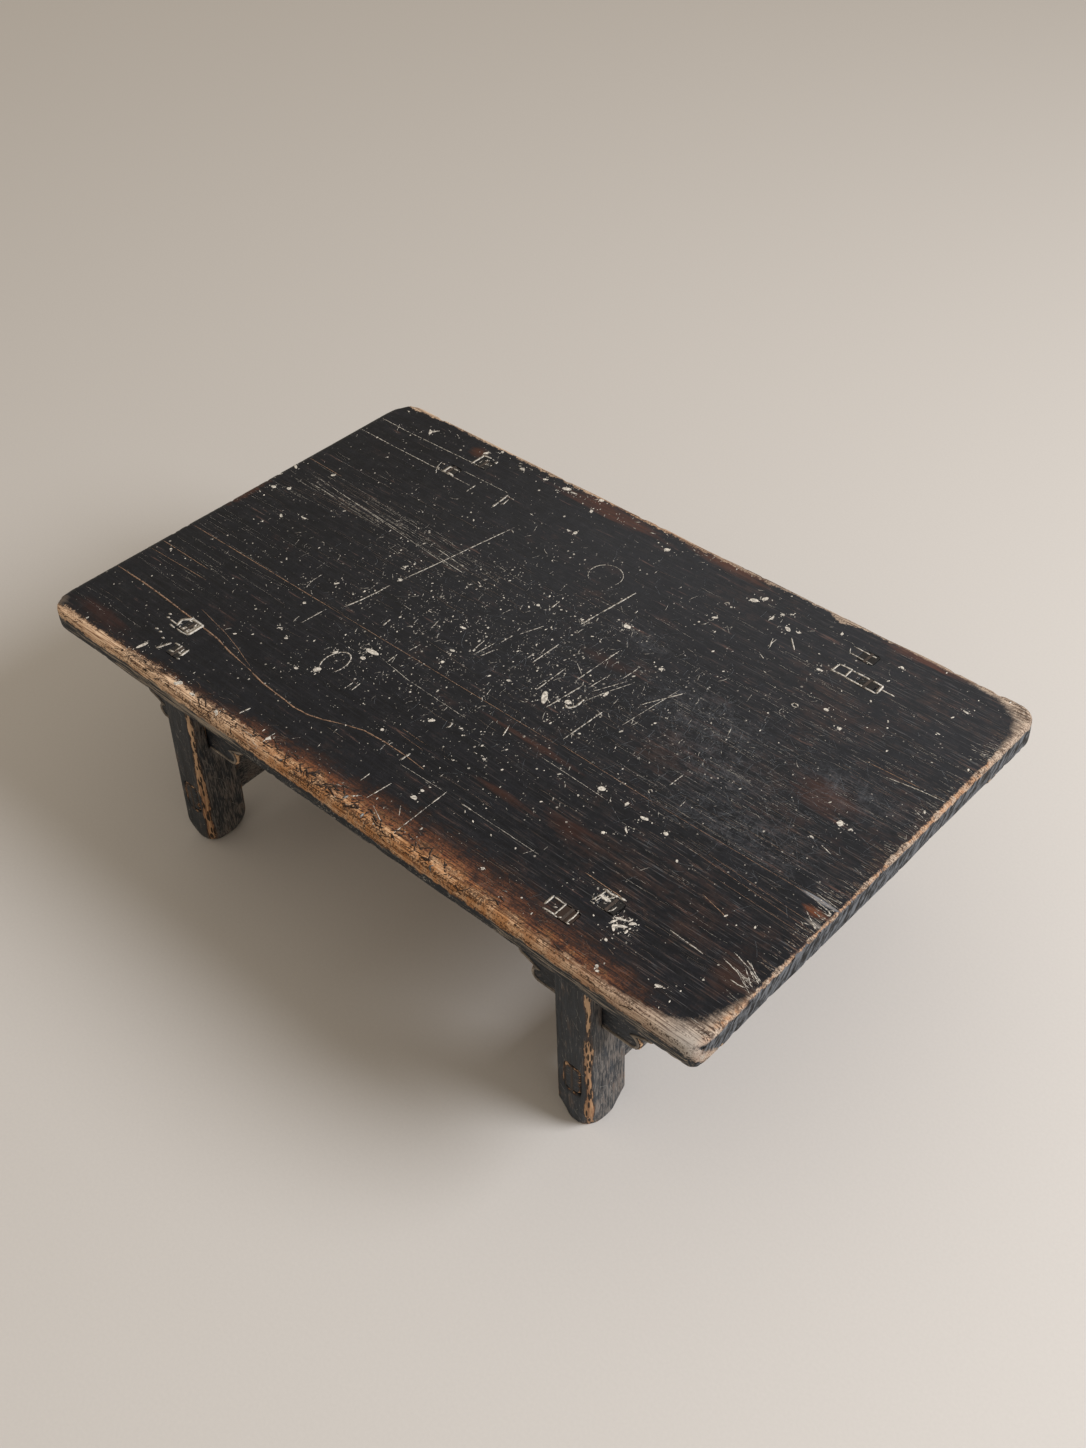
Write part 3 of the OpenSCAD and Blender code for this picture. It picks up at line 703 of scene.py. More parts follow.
def top_lacquer(groups):
    """Black lacquer brushed over pine boards. Long use leaves it dull, finely scratched
    and specked with lime, brown where it is thin, and bare along the front."""
    shift = (-LOW[0] / MM, -LOW[1] / MM, -TOP_Z / MM)
    material, put, raw = new_material("black_lacquer_on_pine", shift)
    x, y, z = put(SPLIT, [raw]).outputs
    streak = drawn_noise(put, raw, (0.012, 0.16, 0.16), 6.0, 0.7)
    fibre = drawn_noise(put, raw, (0.028, 0.85, 0.85), 3.0, 0.6)
    cloud = put(NOISE, {"Vector": raw, "Scale": 0.012, "Detail": 4.0, "Roughness": 0.6})
    coarse = put(NOISE, {"Vector": raw, "Scale": 0.06, "Detail": 6.0, "Roughness": 0.7})
    grit = put(NOISE, {"Vector": raw, "Scale": 0.5, "Detail": 4.0, "Roughness": 0.75})
    ripple = put(MINUS, [coarse, 0.5])
    ragged = put(MINUS, [streak, 0.5])

    # Lacquer: black, brown where it is thin, and hazed to a blue grey by scuffing and by a painted sheen
    deep = put(RANGE, [streak, 0.35, 0.65])
    colour = put(MIX, [deep, "#0f1013", "#191a1f"])
    rightward = put(RANGE, [x, 300.0, 800.0, -0.1, 0.03])
    thin = put(TIMES_PLUS, [ripple, 0.7, streak])
    for more in (cloud, rightward):
        thin = put(PLUS, [thin, more])
    brown = put(RANGE, [thin, 1.07, 1.28, 0.0, 0.52])
    colour = put(MIX, [brown, colour, "#35241d"])
    for sx, sy, half_x, half_y, tint, strength in STAINS:
        oval = put(groups["patch"], [raw, (sx, sy, 0), (half_x, half_y, THROUGH)])
        stain = put(TIMES_PLUS, [ragged, 2.2, oval])
        stain = put(RANGE, [stain, 0.3, 0.9, 0.0, strength])
        colour = put(MIX, [stain, colour, tint])
    # Blue-grey haze in patches: partly real scuff hatching, partly a painted sheen of the lamp
    scuff_haze_and_sheen = 0.0
    for sx, sy, half_x, half_y in SCUFF_HAZE_AND_SHEEN:
        oval = put(groups["patch"], [raw, (sx, sy, 0), (half_x, half_y, THROUGH)])
        scuff_haze_and_sheen = put(MOST, [scuff_haze_and_sheen, oval])
    fuzzy = 0.0
    for turn in (-0.5, 0.65, 1.3):
        turned = put(TURN, {"Vector": raw, "Angle": turn})
        hatch = drawn_noise(put, turned, (0.07, 0.8, 1.0), 2.0)
        fuzzy = put(MOST, [fuzzy, hatch])
    fuzzy = put(TIMES, [fuzzy, coarse])
    fuzzy = put(RANGE, [fuzzy, 0.24, 0.44])
    scuff_haze_and_sheen = put(TIMES_PLUS, [scuff_haze_and_sheen, 0.44, 0.08])
    scuff_haze_and_sheen = put(TIMES, [scuff_haze_and_sheen, fuzzy])
    brushed = put(RANGE, [fibre, 0.42, 0.58, 0.35, 1.0])
    scuff_haze_and_sheen = put(TIMES, [scuff_haze_and_sheen, brushed])
    # Painted sheen: the blue grey grows towards the back and the right of the top
    far = put(RANGE, [y, 120.0, 520.0, 0.0, 0.1])
    painted_sheen_rightward = put(RANGE, [x, 120.0, 420.0])
    scuff_haze_and_sheen = put(TIMES_PLUS, [far, painted_sheen_rightward, scuff_haze_and_sheen])
    colour = put(MIX, [scuff_haze_and_sheen, colour, "#696c72"])

    # Fibres of the pine that stand through the lacquer
    open_right = put(RANGE, [x, 500.0, 860.0, 0.12, 0.8])
    oval = put(groups["patch"], [raw, (190, 372, 0), (230, 60, THROUGH)])
    shown = put(MOST, [open_right, oval])
    lines = put(RANGE, [fibre, 0.58, 0.7, 0.0, 0.5])
    lines = put(TIMES, [lines, shown])
    tan = put(RANGE, [coarse, 0.42, 0.58])
    tint = put(MIX, [tan, "#797a7c", "#705545"])
    colour = put(MIX, [lines, colour, tint])

    # The glow of brown undercoat behind the bare front edge
    across = put(PLUS, [y, z])
    upper = ((0, 2), (25, 8), (130, 10), (330, 13), (500, 13), (640, 12), (740, 7), (960, 5))
    upper = along_top(put, x, upper)
    reach = ((0, 14), (130, 16), (250, 20), (330, 28), (520, 38), (740, 56), (850, 64))
    reach = along_top(put, x, (*reach, (900, 40), (960, 12)))
    glow = ((0, 0.4), (130, 0.65), (330, 0.85), (420, 1.0), (740, 1.0), (860, 0.9), (920, 0.3))
    glow = along_top(put, x, (*glow, (960, 0.0)))
    redder = ((0, 0.35), (300, 0.3), (420, 0.06), (660, 0.0), (760, 0.1), (960, 0.3))
    redder = along_top(put, x, redder)
    inward = put(MINUS, [across, upper])
    share = put(OVER, [inward, reach])
    share = put(PLUS, [share, redder])
    share = put(TIMES_PLUS, [ragged, 1.0, share])
    share = put(TIMES_PLUS, [ripple, 2.2, share])
    ramp = put("ShaderNodeValToRGB", [share])
    stops = ((0.0, "#b07a4f", 1.0), (0.25, "#7b4c33", 1.0), (0.6, "#422a1f", 0.85), (1.0, "#201817", 0.0))
    for _ in stops[2:]:
        ramp.color_ramp.elements.new(1.0)
    for stop, (place, tint, alpha) in zip(ramp.color_ramp.elements, stops):
        stop.position = place
        stop.color = (*srgb(tint)[:3], alpha)
    grained = put(RANGE, [x, 560.0, 660.0, 0.55, 0.25])
    brushed = put(RANGE, [fibre, 0.42, 0.56, grained, 1.0])
    weight = put(TIMES, [ramp.outputs["Alpha"], glow])
    weight = put(TIMES, [weight, brushed])
    for pattern, start, least in ((coarse, 0.38, 0.35), (grit, 0.4, 0.25)):
        broken = put(RANGE, [pattern, start, 0.52, least, 1.0])
        weight = put(TIMES, [weight, broken])
    colour = put(MIX, [weight, colour, ramp.outputs["Color"]])

    # The front face below the bare band: blue black, with bleached streaks
    lower = ((0, 6), (50, 9), (330, 11), (400, 14), (640, 14), (720, 11), (820, 10), (960, 11))
    lower = along_top(put, x, lower)
    bleached = ((0, 0.2), (90, 0.26), (200, 0.36), (320, 0.34), (360, 0.15), (660, 0.16))
    bleached = along_top(put, x, (*bleached, (760, 0.3), (960, 0.27)))
    under = put(PLUS, [across, lower])
    under = put(TIMES_PLUS, [ragged, 14.0, under])
    under = put(TIMES_PLUS, [ripple, 20.0, under])
    below = put(RANGE, [under, 1.0, -1.0])
    face = put(MIX, [deep, "#15181c", "#2d3237"])
    pale = put(TIMES_PLUS, [streak, 0.6, bleached])
    pale = put(TIMES_PLUS, [fibre, 1.4, pale])
    pale = put(RANGE, [pale, 1.3, 1.45, 0.0, 0.85])
    face = put(MIX, [pale, face, "#9d8f7e"])
    chipped = along_top(put, x, ((0, 0.2), (330, 0.2), (450, 0.7), (640, 0.7), (720, 0.2), (960, 0.2)))
    flakes = put(TIMES_PLUS, [ripple, 0.7, grit])
    flakes = put(RANGE, [flakes, 0.6, 0.65])
    flakes = put(TIMES, [flakes, chipped])
    face = put(MIX, [flakes, face, "#b5afa6"])
    colour = put(MIX, [below, colour, face])

    # End faces: blue grey with dark strokes across
    turned = put("ShaderNodeVectorRotate", {"Vector": raw, "Angle": 0.7}, rotation_type="X_AXIS")
    strokes = drawn_noise(put, turned, (0.1, 0.22, 0.06), 4.0, 0.7)
    tone = put(RANGE, [strokes, 0.45, 0.57])
    bolder = put(RANGE, [x, 300.0, 600.0, 0.25, 1.0])
    tone = put(TIMES, [tone, bolder])
    end = put(MIX, [tone, "#101113", "#5d6065"])
    facing = put("ShaderNodeTexCoord").outputs["Normal"]
    on_end = put(UNSIGNED, [put(SPLIT, [facing])])
    on_end = put(RANGE, [on_end, 0.45, 0.75])
    colour = put(MIX, [on_end, colour, end])

    # Bare wood: the front band, the right and back arrises and the right corners
    into = put(TIMES_PLUS, [ripple, -22.0, upper])
    into = put(TIMES_PLUS, [ragged, -8.0, into])
    into = put(MINUS, [into, across])
    sandy = put(MINUS, [grit, 0.5])
    into = put(TIMES_PLUS, [sandy, 20.0, into])
    front = put(RANGE, [into, -3.5, 1.5])
    band = put(RANGE, [under, -1.0, 1.0])
    front = put(TIMES, [front, band])
    sunk = put(TIMES, [z, -1.0])
    right = put(MINUS, [TOP_SIZE[0] - 1.0, x])
    rim = put(MOST, [right, sunk])
    wider = put(RANGE, [y, 240.0, 420.0, -0.4, -2.4])
    rim = put(PLUS, [rim, wider])
    rim = put(TIMES_PLUS, [ripple, 13.0, rim])
    rim = put(TIMES_PLUS, [sandy, 5.0, rim])
    rim = put(RANGE, [rim, 3.0, 1.5, 0.0, 0.95])
    width = ((0, 9), (60, 8), (90, 5), (250, 7), (480, 7), (510, 8), (560, 7), (620, 9))
    width = along_top(put, x, (*width, (650, 3), (695, 6), (715, 14), (735, 5), (940, 4), (960, 4)))
    back = put(MINUS, [TOP_SIZE[1] - 1.0, y])
    back = put(MOST, [back, sunk])
    back = put(TIMES_PLUS, [ripple, 22.0, back])
    back = put(TIMES_PLUS, [sandy, 9.0, back])
    back = put(MINUS, [width, back])
    back = put(RANGE, [back, -0.7, 0.7, 0.0, 0.85])
    bare = put(MOST, [front, rim])
    bare = put(MOST, [bare, back])
    from_front = put(MINUS, [y, 5.0])
    from_back = put(MINUS, [TOP_SIZE[1] - 4.0, y])
    inside = put(RANGE, [sunk, 4.0, 2.0])
    for from_y, room in ((from_front, 330.0), (from_back, 300.0)):
        corner = put(TIMES, [right, from_y])
        corner = put(TIMES_PLUS, [ripple, room * 3.0, corner])
        corner = put(TIMES_PLUS, [sandy, room * 1.5, corner])
        corner = put(RANGE, [corner, room * 1.9, room * 0.5])
        near = put(RANGE, [from_y, 90.0, 50.0])
        corner = put(TIMES, [corner, near])
        corner = put(TIMES, [corner, inside])
        bare = put(MOST, [bare, corner])
    sheer = put(RANGE, [fibre, 0.36, 0.62])
    wood = put(MIX, [sheer, "#8b5f42", "#dbb58f"])
    orange = put(RANGE, [coarse, 0.42, 0.56, 0.0, 0.7])
    wood = put(MIX, [orange, wood, "#a8703f"])
    blonde = put(MIX, [sheer, "#9c7a5e", "#ecd0b2"])
    leftward = put(RANGE, [x, 420.0, 300.0, 0.0, 0.75])
    wood = put(MIX, [leftward, wood, blonde])
    grey = put(MIX, [sheer, "#685e55", "#bbac9d"])
    sunned = put(RANGE, [x, 730.0, 920.0, 0.0, 0.85])
    behind = put(RANGE, [y, 535.0, 560.0])
    paler = put(RANGE, [x, 400.0, 600.0, 0.25, 0.8])
    behind = put(TIMES, [behind, paler])
    sunned = put(MOST, [sunned, behind])
    on_rim = put(RANGE, [right, 10.0, 4.0, 0.0, 0.5])
    ahead = put(RANGE, [y, 520.0, 470.0])
    on_rim = put(TIMES, [on_rim, ahead])
    along = put(RANGE, [coarse, 0.42, 0.56])
    on_rim = put(TIMES, [on_rim, along])
    sunned = put(MINUS, [sunned, on_rim])
    sunned = put(MOST, [sunned, 0.0])
    wood = put(MIX, [sunned, wood, grey])
    tip = put(groups["patch"], [raw, (950, 4, -4), (46, 30, 40)])
    tip = put(TIMES, [tip, 0.8])
    wood = put(MIX, [tip, wood, "#aaa49d"])
    lines = put(RANGE, [fibre, 0.44, 0.36, 0.0, 0.6])
    wood = put(MIX, [lines, wood, "#4a3426"])
    colour = put(MIX, [bare, colour, wood])
    pitted = ((0, 0.0), (250, 0.005), (330, 0.035), (650, 0.035), (700, 0.01), (960, 0.0))
    pitted = along_top(put, x, pitted)
    chips = put(PLUS, [grit, ragged])
    chips = put(PLUS, [chips, pitted])
    chips = put(RANGE, [chips, 0.55, 0.61, 0.0, 0.85])
    chips = put(TIMES, [chips, bare])
    colour = put(MIX, [chips, colour, "#33241c"])

    # Dust-fine specks of lime
    wobble = put(NOISE, {"Vector": raw, "Scale": 0.3, "Detail": 2.0})
    bent = put(V_TIMES_PLUS, [wobble.outputs["Color"], (2.5, 2.5, 0.0), raw])
    crowd = put(groups["patch"], [raw, (450, 290, 0), (420, 260, THROUGH)])
    many = put(TIMES_PLUS, [crowd, 0.1, 0.025])
    clumps = put(RANGE, [coarse, 0.4, 0.6, 0.2, 1.8])
    many = put(TIMES, [many, clumps])
    specks = 0.0
    for cell, radius, weight in ((2.6, 0.75, 1.0), (4.4, 1.15, 0.9), (9.0, 1.7, 0.6)):
        density = put(TIMES, [many, weight])
        made = put(groups["specks"], [bent, cell, radius, density])
        specks = put(MOST, [specks, made])
    level = put(RANGE, [sunk, 12.0, 5.0, 0.0, 0.9])
    specks = put(TIMES, [specks, level])
    colour = put(MIX, [specks, colour, "#bab4aa"])

    # The underside was never lacquered
    bottom = put(RANGE, [z, -29.2, -28.4, 1.0, 0.0])
    raw_wood = put(MIX, [streak, "#4a3728", "#97775a"])
    colour = put(MIX, [bottom, colour, raw_wood])
    gloss = put(RANGE, [streak, 0.3, 0.7, 0.48, 0.62])
    matt = put(TIMES_PLUS, [bare, 0.25, gloss])
    height = put(TIMES_PLUS, [fibre, 0.5, streak])
    bump = put("ShaderNodeBump", {"Strength": 0.7, "Distance": 0.5 * MM, "Height": height})
    inputs = {"Base Color": colour, "Roughness": matt, "Specular IOR Level": 0.16, "Normal": bump}
    return finish_shader(material, inputs)


def frame_lacquer(name, along, groups):
    """Blue-black lacquer over pine on the frame. Its arrises are worn to tan wood with
    eye-shaped islands of lacquer left in them. along says which way the grain runs."""
    material, put, raw = new_material(name)
    x, y, z = put(SPLIT, [raw]).outputs
    about = put(PLUS, [x, y])
    depth = put(MINUS, [x, y])
    depth = put(TIMES, [depth, 0.3])
    # From here on Y runs along the grain
    axes = [about, z, depth] if along == "Z" else [z, about, depth]
    wrap = put("ShaderNodeCombineXYZ", axes)
    wobble = put(NOISE, {"Vector": wrap, "Scale": 0.04, "Detail": 3.0})
    centred = put(V_MINUS, [wobble.outputs["Color"], (0.5, 0.5, 0.5)])
    bent = put(V_TIMES_PLUS, [centred, (3.0, 3.0, 3.0), wrap])
    streak = drawn_noise(put, bent, (0.3, 0.02, 0.3), 6.0, 0.7)
    grit = put(NOISE, {"Vector": wrap, "Scale": 0.35, "Detail": 5.0, "Roughness": 0.75})
    coarse = drawn_noise(put, bent, (0.09, 0.035, 0.09), 5.0, 0.65)
    ripple = put(MINUS, [coarse, 0.5])
    deep = put(RANGE, [streak, 0.35, 0.68])
    colour = put(MIX, [deep, "#101318", "#30363d"])
    # Faces turned to +X, towards the lamp, get more brown scrapes and pale slivers: painted light on that
    # side, over the real wear
    facing = put("ShaderNodeTexCoord").outputs["Normal"]
    outline_band_or_lit_side = put(SPLIT, [facing]).outputs[0]
    outline_band_or_lit_side = put(RANGE, [outline_band_or_lit_side, 0.3, 0.8])
    scrapes_and_lit_side = put(PLUS, [streak, coarse])
    scrapes_and_lit_side = put(TIMES_PLUS, [outline_band_or_lit_side, 0.06, scrapes_and_lit_side])
    scrapes_and_lit_side = put(RANGE, [scrapes_and_lit_side, 1.1, 1.26, 0.0, 0.7])
    colour = put(MIX, [scrapes_and_lit_side, colour, "#54453b"])
    slivers_and_lit_side = drawn_noise(put, bent, (0.9, 0.05, 0.9), 3.0, 0.6)
    slivers_and_lit_side = put(TIMES_PLUS, [ripple, 0.45, slivers_and_lit_side])
    slivers_and_lit_side = put(TIMES_PLUS, [outline_band_or_lit_side, 0.13, slivers_and_lit_side])
    slivers_and_lit_side = put(RANGE, [slivers_and_lit_side, 0.6, 0.72, 0.0, 0.65])
    colour = put(MIX, [slivers_and_lit_side, colour, "#7f7872"])
    mask = 0.0
    for sizes in ((15.0, 0.6, 0.24, -0.6, 0.7), (11.0, 0.4, 0.22, 0.1, 0.4)):
        made = put(groups["scratches"], [bent, *sizes])
        mask = put(MOST, [mask, made])
    broken = put(RANGE, [grit, 0.4, 0.54, 0.0, 0.65])
    marks = put(TIMES, [mask, broken])
    made = put(groups["specks"], [bent, 7.0, 1.0, 0.15])
    marks = put(MOST, [marks, made])
    colour = put(MIX, [marks, colour, "#94918b"])

    arris = put("ShaderNodeAttribute", attribute_name="arris").outputs["Fac"]
    edge = put(TIMES_PLUS, [ripple, 1.5, arris])
    rim = put(RANGE, [edge, 0.24, 0.4, 0.0, 0.85])
    rim_tint = put(MIX, [deep, "#1d1613", "#4d3527"])
    colour = put(MIX, [rim, colour, rim_tint])
    strip = put(RANGE, [edge, 0.42, 0.48])
    wood = put(RANGE, [streak, 0.38, 0.62])
    wood = put(MIX, [wood, "#765239", "#c49d78"])
    upward = put(RANGE, [z, 70.0, 200.0, 0.0, 0.45])
    wood = put(MIX, [upward, wood, "#d6b898"])
    colour = put(MIX, [strip, colour, wood])
    stretched = put(V_TIMES, [bent, (0.26, 0.075, 0.26)])
    eyes = put(VORONOI, {"Vector": stretched, "Scale": 1.0})
    footward = put(RANGE, [z, 60.0, 10.0, 0.0, 0.14])
    eyes = put(MINUS, [eyes.outputs["Distance"], footward])
    eyes = put(RANGE, [eyes, 0.46, 0.38, 0.0, 0.95])
    eyes = put(TIMES, [eyes, strip])
    colour = put(MIX, [eyes, colour, "#191513"])

    # The tenons' ends lie in the worn top and look like it
    crown = put(RANGE, [z, 297.5, 298.5])
    dark = put(MIX, [deep, "#101011", "#1f1d1e"])
    glowing = put(RANGE, [y, -220.0, -240.0])
    rightmost = put(RANGE, [x, 0.0, 100.0, 0.0, 0.8])
    glowing = put(TIMES, [glowing, rightmost])
    dark = put(MIX, [glowing, dark, "#2f2018"])
    colour = put(MIX, [crown, colour, dark])
    matt = put(TIMES_PLUS, [strip, 0.2, 0.52])
    height = put(TIMES_PLUS, [grit, 0.5, streak])
    height = put(TIMES_PLUS, [strip, -1.0, height])
    bump = put("ShaderNodeBump", {"Strength": 0.7, "Distance": 0.5 * MM, "Height": height})
    inputs = {"Base Color": colour, "Roughness": matt, "Specular IOR Level": 0.35, "Normal": bump}
    return finish_shader(material, inputs)


def bare_wood(name, dark, light, stretch):
    """Old unfinished wood, grey-brown with fine grain. stretch shortens each axis in
    millimetres, least along the grain."""
    material, put, raw = new_material(name)
    streak = drawn_noise(put, raw, stretch, 6.0, 0.65)
    tone = put(RANGE, [streak, 0.3, 0.7])
    colour = put(MIX, [tone, dark, light])
    bump = put("ShaderNodeBump", {"Strength": 0.5, "Distance": 0.3 * MM, "Height": streak})
    return finish_shader(material, {"Base Color": colour, "Roughness": 0.75, "Normal": bump})


def chalky(name, dark, light):
    """Dried limewash and primer: chalky, greyer where it is thin."""
    material, put, raw = new_material(name)
    grit = put(NOISE, {"Vector": raw, "Scale": 0.35, "Detail": 4.0, "Roughness": 0.7})
    tone = put(RANGE, [grit, 0.4, 0.6])
    colour = put(MIX, [tone, dark, light])
    return finish_shader(material, {"Base Color": colour, "Roughness": 0.85})


# Geometry Nodes


def new_modifier_tree(name, inputs):
    """An empty geometry tree, what adds a node to it, its geometry input and the sockets
    of its sizes."""
    tree = bpy.data.node_groups.new(name, "GeometryNodeTree")
    tree.interface.new_socket("Geometry", in_out="INPUT", socket_type="NodeSocketGeometry")
    for label, kind in inputs:
        tree.interface.new_socket(label, in_out="INPUT", socket_type=f"NodeSocket{kind}")
    tree.interface.new_socket("Geometry", in_out="OUTPUT", socket_type="NodeSocketGeometry")
    given = tree.nodes.new("NodeGroupInput")
    return tree, partial(add, tree), list(given.outputs)[: 1 + len(inputs)]


def jittered(put, geometry, scale, detail, amount):
    """Moves the points of a geometry sideways by noise, up to an amount."""
    bend = put(NOISE, {"Scale": scale, "Detail": detail})
    centred = put(V_MINUS, [bend.outputs["Color"], (0.5, 0.5, 0.5)])
    level = put(V_TIMES, [centred, (1, 1, 0)])
    shift = put(V_SCALE, [level, amount])
    return put("GeometryNodeSetPosition", {"Geometry": geometry, "Offset": shift})


def end_tree(put, geometry, material):
    """Ends a geometry tree with plain faces in their material."""
    real = put("GeometryNodeRealizeInstances", [geometry])
    dressed = put("GeometryNodeSetMaterial", {"Geometry": real, "Material": material})
    put("NodeGroupOutput", [dressed])


def fleck_tree():
    """A ragged flat-topped fleck on each point, by the point's size and turn."""
    tree, put, (points, sides, ragged, material) = new_modifier_tree(
        "flecks", [("Sides", "Int"), ("Raggedness", "Float"), ("Material", "Material")]
    )
    shape = put(
        "GeometryNodeMeshCone",
        {"Vertices": sides, "Radius Top": 0.7, "Radius Bottom": 1.0, "Depth": 1.0},
    )
    size, turn = (
        put("GeometryNodeInputNamedAttribute", {"Name": label}, data_type="FLOAT_VECTOR")
        for label in ("size", "turn")
    )
    placed = put(
        "GeometryNodeInstanceOnPoints",
        {"Points": points, "Instance": shape, "Rotation": turn, "Scale": size},
    )
    real = put("GeometryNodeRealizeInstances", [placed])
    end_tree(put, jittered(put, real, 330.0, 2.0, ragged), material)
    return tree


def stroke_tree():
    """A thin ragged ribbon along each path, by the path's width. Gaps is the level of
    noise under which it thins out."""
    tree, put, (paths, step, wander, gaps, material) = new_modifier_tree(
        "strokes", [("Step", "Float"), ("Wander", "Float"), ("Gaps", "Float"), ("Material", "Material")]
    )
    curve = put("GeometryNodeMeshToCurve", [paths])
    even = put("GeometryNodeResampleCurve", {"Curve": curve, "Length": step}, mode="LENGTH")
    moved = jittered(put, even, 260.0, 3.0, wander)
    width = put("GeometryNodeInputNamedAttribute", {"Name": "width"}, data_type="FLOAT")
    wear = put(NOISE, {"Scale": 330.0, "Detail": 3.0, "Roughness": 0.6})
    high = put(PLUS, [gaps, 0.1])
    kept = put(RANGE, [wear, gaps, high, 0.12, 1.0])
    share = put("GeometryNodeSplineParameter").outputs["Factor"]
    rest = put(MINUS, [1.0, share])
    ends = put(LEAST, [share, rest])
    ends = put(RANGE, [ends, 0.0, 0.12, 0.25, 1.0])
    radius = kept
    for share in (ends, width, 1.25):
        radius = put(TIMES, [radius, share])
    level_curve = put("GeometryNodeSetCurveNormal", {"Curve": moved}, mode="Z_UP")
    ring = put("GeometryNodeCurvePrimitiveCircle", {"Resolution": 3, "Radius": 0.57})
    flat = put(
        "GeometryNodeTransform",
        {"Geometry": ring, "Rotation": (0, 0, pi / 2), "Scale": (0.14, 1.0, 1.0)},
    )
    swept = put(
        "GeometryNodeCurveToMesh",
        {"Curve": level_curve, "Profile Curve": flat, "Scale": radius, "Fill Caps": True},
    )
    end_tree(put, swept, material)
    return tree


def bead_tree():
    """A round bead along each path."""
    tree, put, (paths, radius, sides, material) = new_modifier_tree(
        "bead", [("Radius", "Float"), ("Sides", "Int"), ("Material", "Material")]
    )
    curve = put("GeometryNodeMeshToCurve", [paths])
    profile = put("GeometryNodeCurvePrimitiveCircle", {"Resolution": sides, "Radius": radius})
    swept = put(
        "GeometryNodeCurveToMesh", {"Curve": curve, "Profile Curve": profile, "Fill Caps": True}
    )
    end_tree(put, swept, material)
    return tree


def grown(name, mesh, tree, values):
    """Runs a geometry tree on a mesh and keeps the result as a plain piece."""
    seed = new_object("seed", mesh)
    modifier = seed.modifiers.new("grow", "NODES")
    modifier.node_group = tree
    places = {item.name: item.identifier for item in tree.interface.items_tree if item.in_out == "INPUT"}
    for label, value in values.items():
        modifier[places[label]] = value
    made = plain_mesh(seed)
    held_inside(made, LOW, HIGH)
    piece = new_object(name, made)
    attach(piece, BODY)


def arc(cx, cz, radius, start, end, steps=10):
    """Points round an arc, from one angle to another in degrees."""
    angles = [radians(start + (end - start) * i / steps) for i in range(steps + 1)]
    return [(cx + radius * cos(a), cz + radius * sin(a)) for a in angles]


def worn_surfaces():
    """The upper surfaces that marks lie on, ready to be measured."""
    graph = bpy.context.evaluated_depsgraph_get()
    return [BVHTree.FromObject(bpy.data.objects["worn_" + node], graph) for node in PLANKS + LEGS]


def surface_at(surfaces, x, y):
    """The point and the normal of the upper face at a place in millimetres from the front
    left corner, or None twice beside the top."""
    above = Vector((LOW[0] + x * MM, LOW[1] + y * MM, TOP_Z + 0.1))
    hits = [surface.ray_cast(above, Vector((0, 0, -1)))[:2] for surface in surfaces]
    hits = [hit for hit in hits if hit[0] and hit[0].z > TOP_Z - DEEPEST]
    return max(hits, key=lambda hit: hit[0].z) if hits else (None, None)


def draped(rows, surfaces, step=4.0):
    """A mesh of the paths in rows of a width and points, laid on the top, with their
    widths in metres."""
    co, edges, widths = [], [], []
    for width, *points in rows:
        points = np.array(points, float)
        run = np.concatenate([[0], np.cumsum(np.hypot(*np.diff(points, axis=0).T))])
        places = np.linspace(0, run[-1], max(2, int(run[-1] / step) + 1))
        joined = False
        for x, y in zip(np.interp(places, run, points[:, 0]), np.interp(places, run, points[:, 1])):
            point, _ = surface_at(surfaces, x, y)
            if point is None:
                joined = False
                continue
            co.append((point.x, point.y, point.z + LIFT))
            widths.append(width * MM)
            if joined:
                edges.append((len(co) - 2, len(co) - 1))
            joined = True
    mesh = bpy.data.meshes.new("paths")
    mesh.from_pydata(co, edges, [])
    label_points(mesh, "width", widths)
    return mesh


def loose_strokes(random, count, front, centre, spread, turn, turn_spread, longest, widest):
    """Random short strokes about a centre, turned about an angle in degrees. None has
    its middle nearer to the front edge than front."""
    rows = []
    while len(rows) < count:
        x, y = random.normal(centre, spread)
        if not (4 < x < TOP_SIZE[0] - 4 and front < y < TOP_SIZE[1] - 5):
            continue
        angle = radians(random.normal(turn, turn_spread))
        length = longest * (0.15 + 0.85 * random.random() ** 2)
        bow = random.normal(0, 1.5)
        dx, dy = cos(angle) * length / 2, sin(angle) * length / 2
        middle = (x - dy / length * bow, y + dx / length * bow)
        rows.append((widest * random.uniform(0.4, 1), (x - dx, y - dy), middle, (x + dx, y + dy)))
    return rows


def ring_rows():
    """The rings as rows of a width and points."""
    for width, cx, cy, half_x, half_y, start, end in RINGS:
        angles = np.radians(np.linspace(start, end, 24))
        yield (width, *zip(cx + half_x * np.cos(angles), cy + half_y * np.sin(angles)))


def chip_rows():
    """The chips on the front edge as rows of a width and points."""
    for x, y, length, width, turn in EDGE_CHIPS:
        dx, dy = cos(radians(turn)) * length / 2, sin(radians(turn)) * length / 2
        yield (width, (x - dx, y - dy), (x, y), (x + dx, y + dy))


class TopSettings(bpy.types.PropertyGroup):
    cell: FloatProperty(
        name="Cell", description="Size of the faces of the planks", unit="LENGTH", default=2.4 * MM
    )
    wear: FloatProperty(
        name="Wear", description="How far the outline is rubbed down", subtype="FACTOR", default=1.0
    )
    fleck_count: IntProperty(name="Flecks", description="Number of loose lime flecks", default=1250)
    fleck_seed: IntProperty(name="Seed", description="Seed of the loose flecks", default=11)
    fleck_height: FloatProperty(
        name="Fleck height", description="Thickness of a fleck", unit="LENGTH", default=0.3 * MM
    )
    scratch_seed: IntProperty(name="Scratch seed", description="Seed of the loose scratches", default=4)
    scratch_share: FloatProperty(
        name="Scratches", description="Share of the loose scratches made", subtype="FACTOR", default=1.0
    )


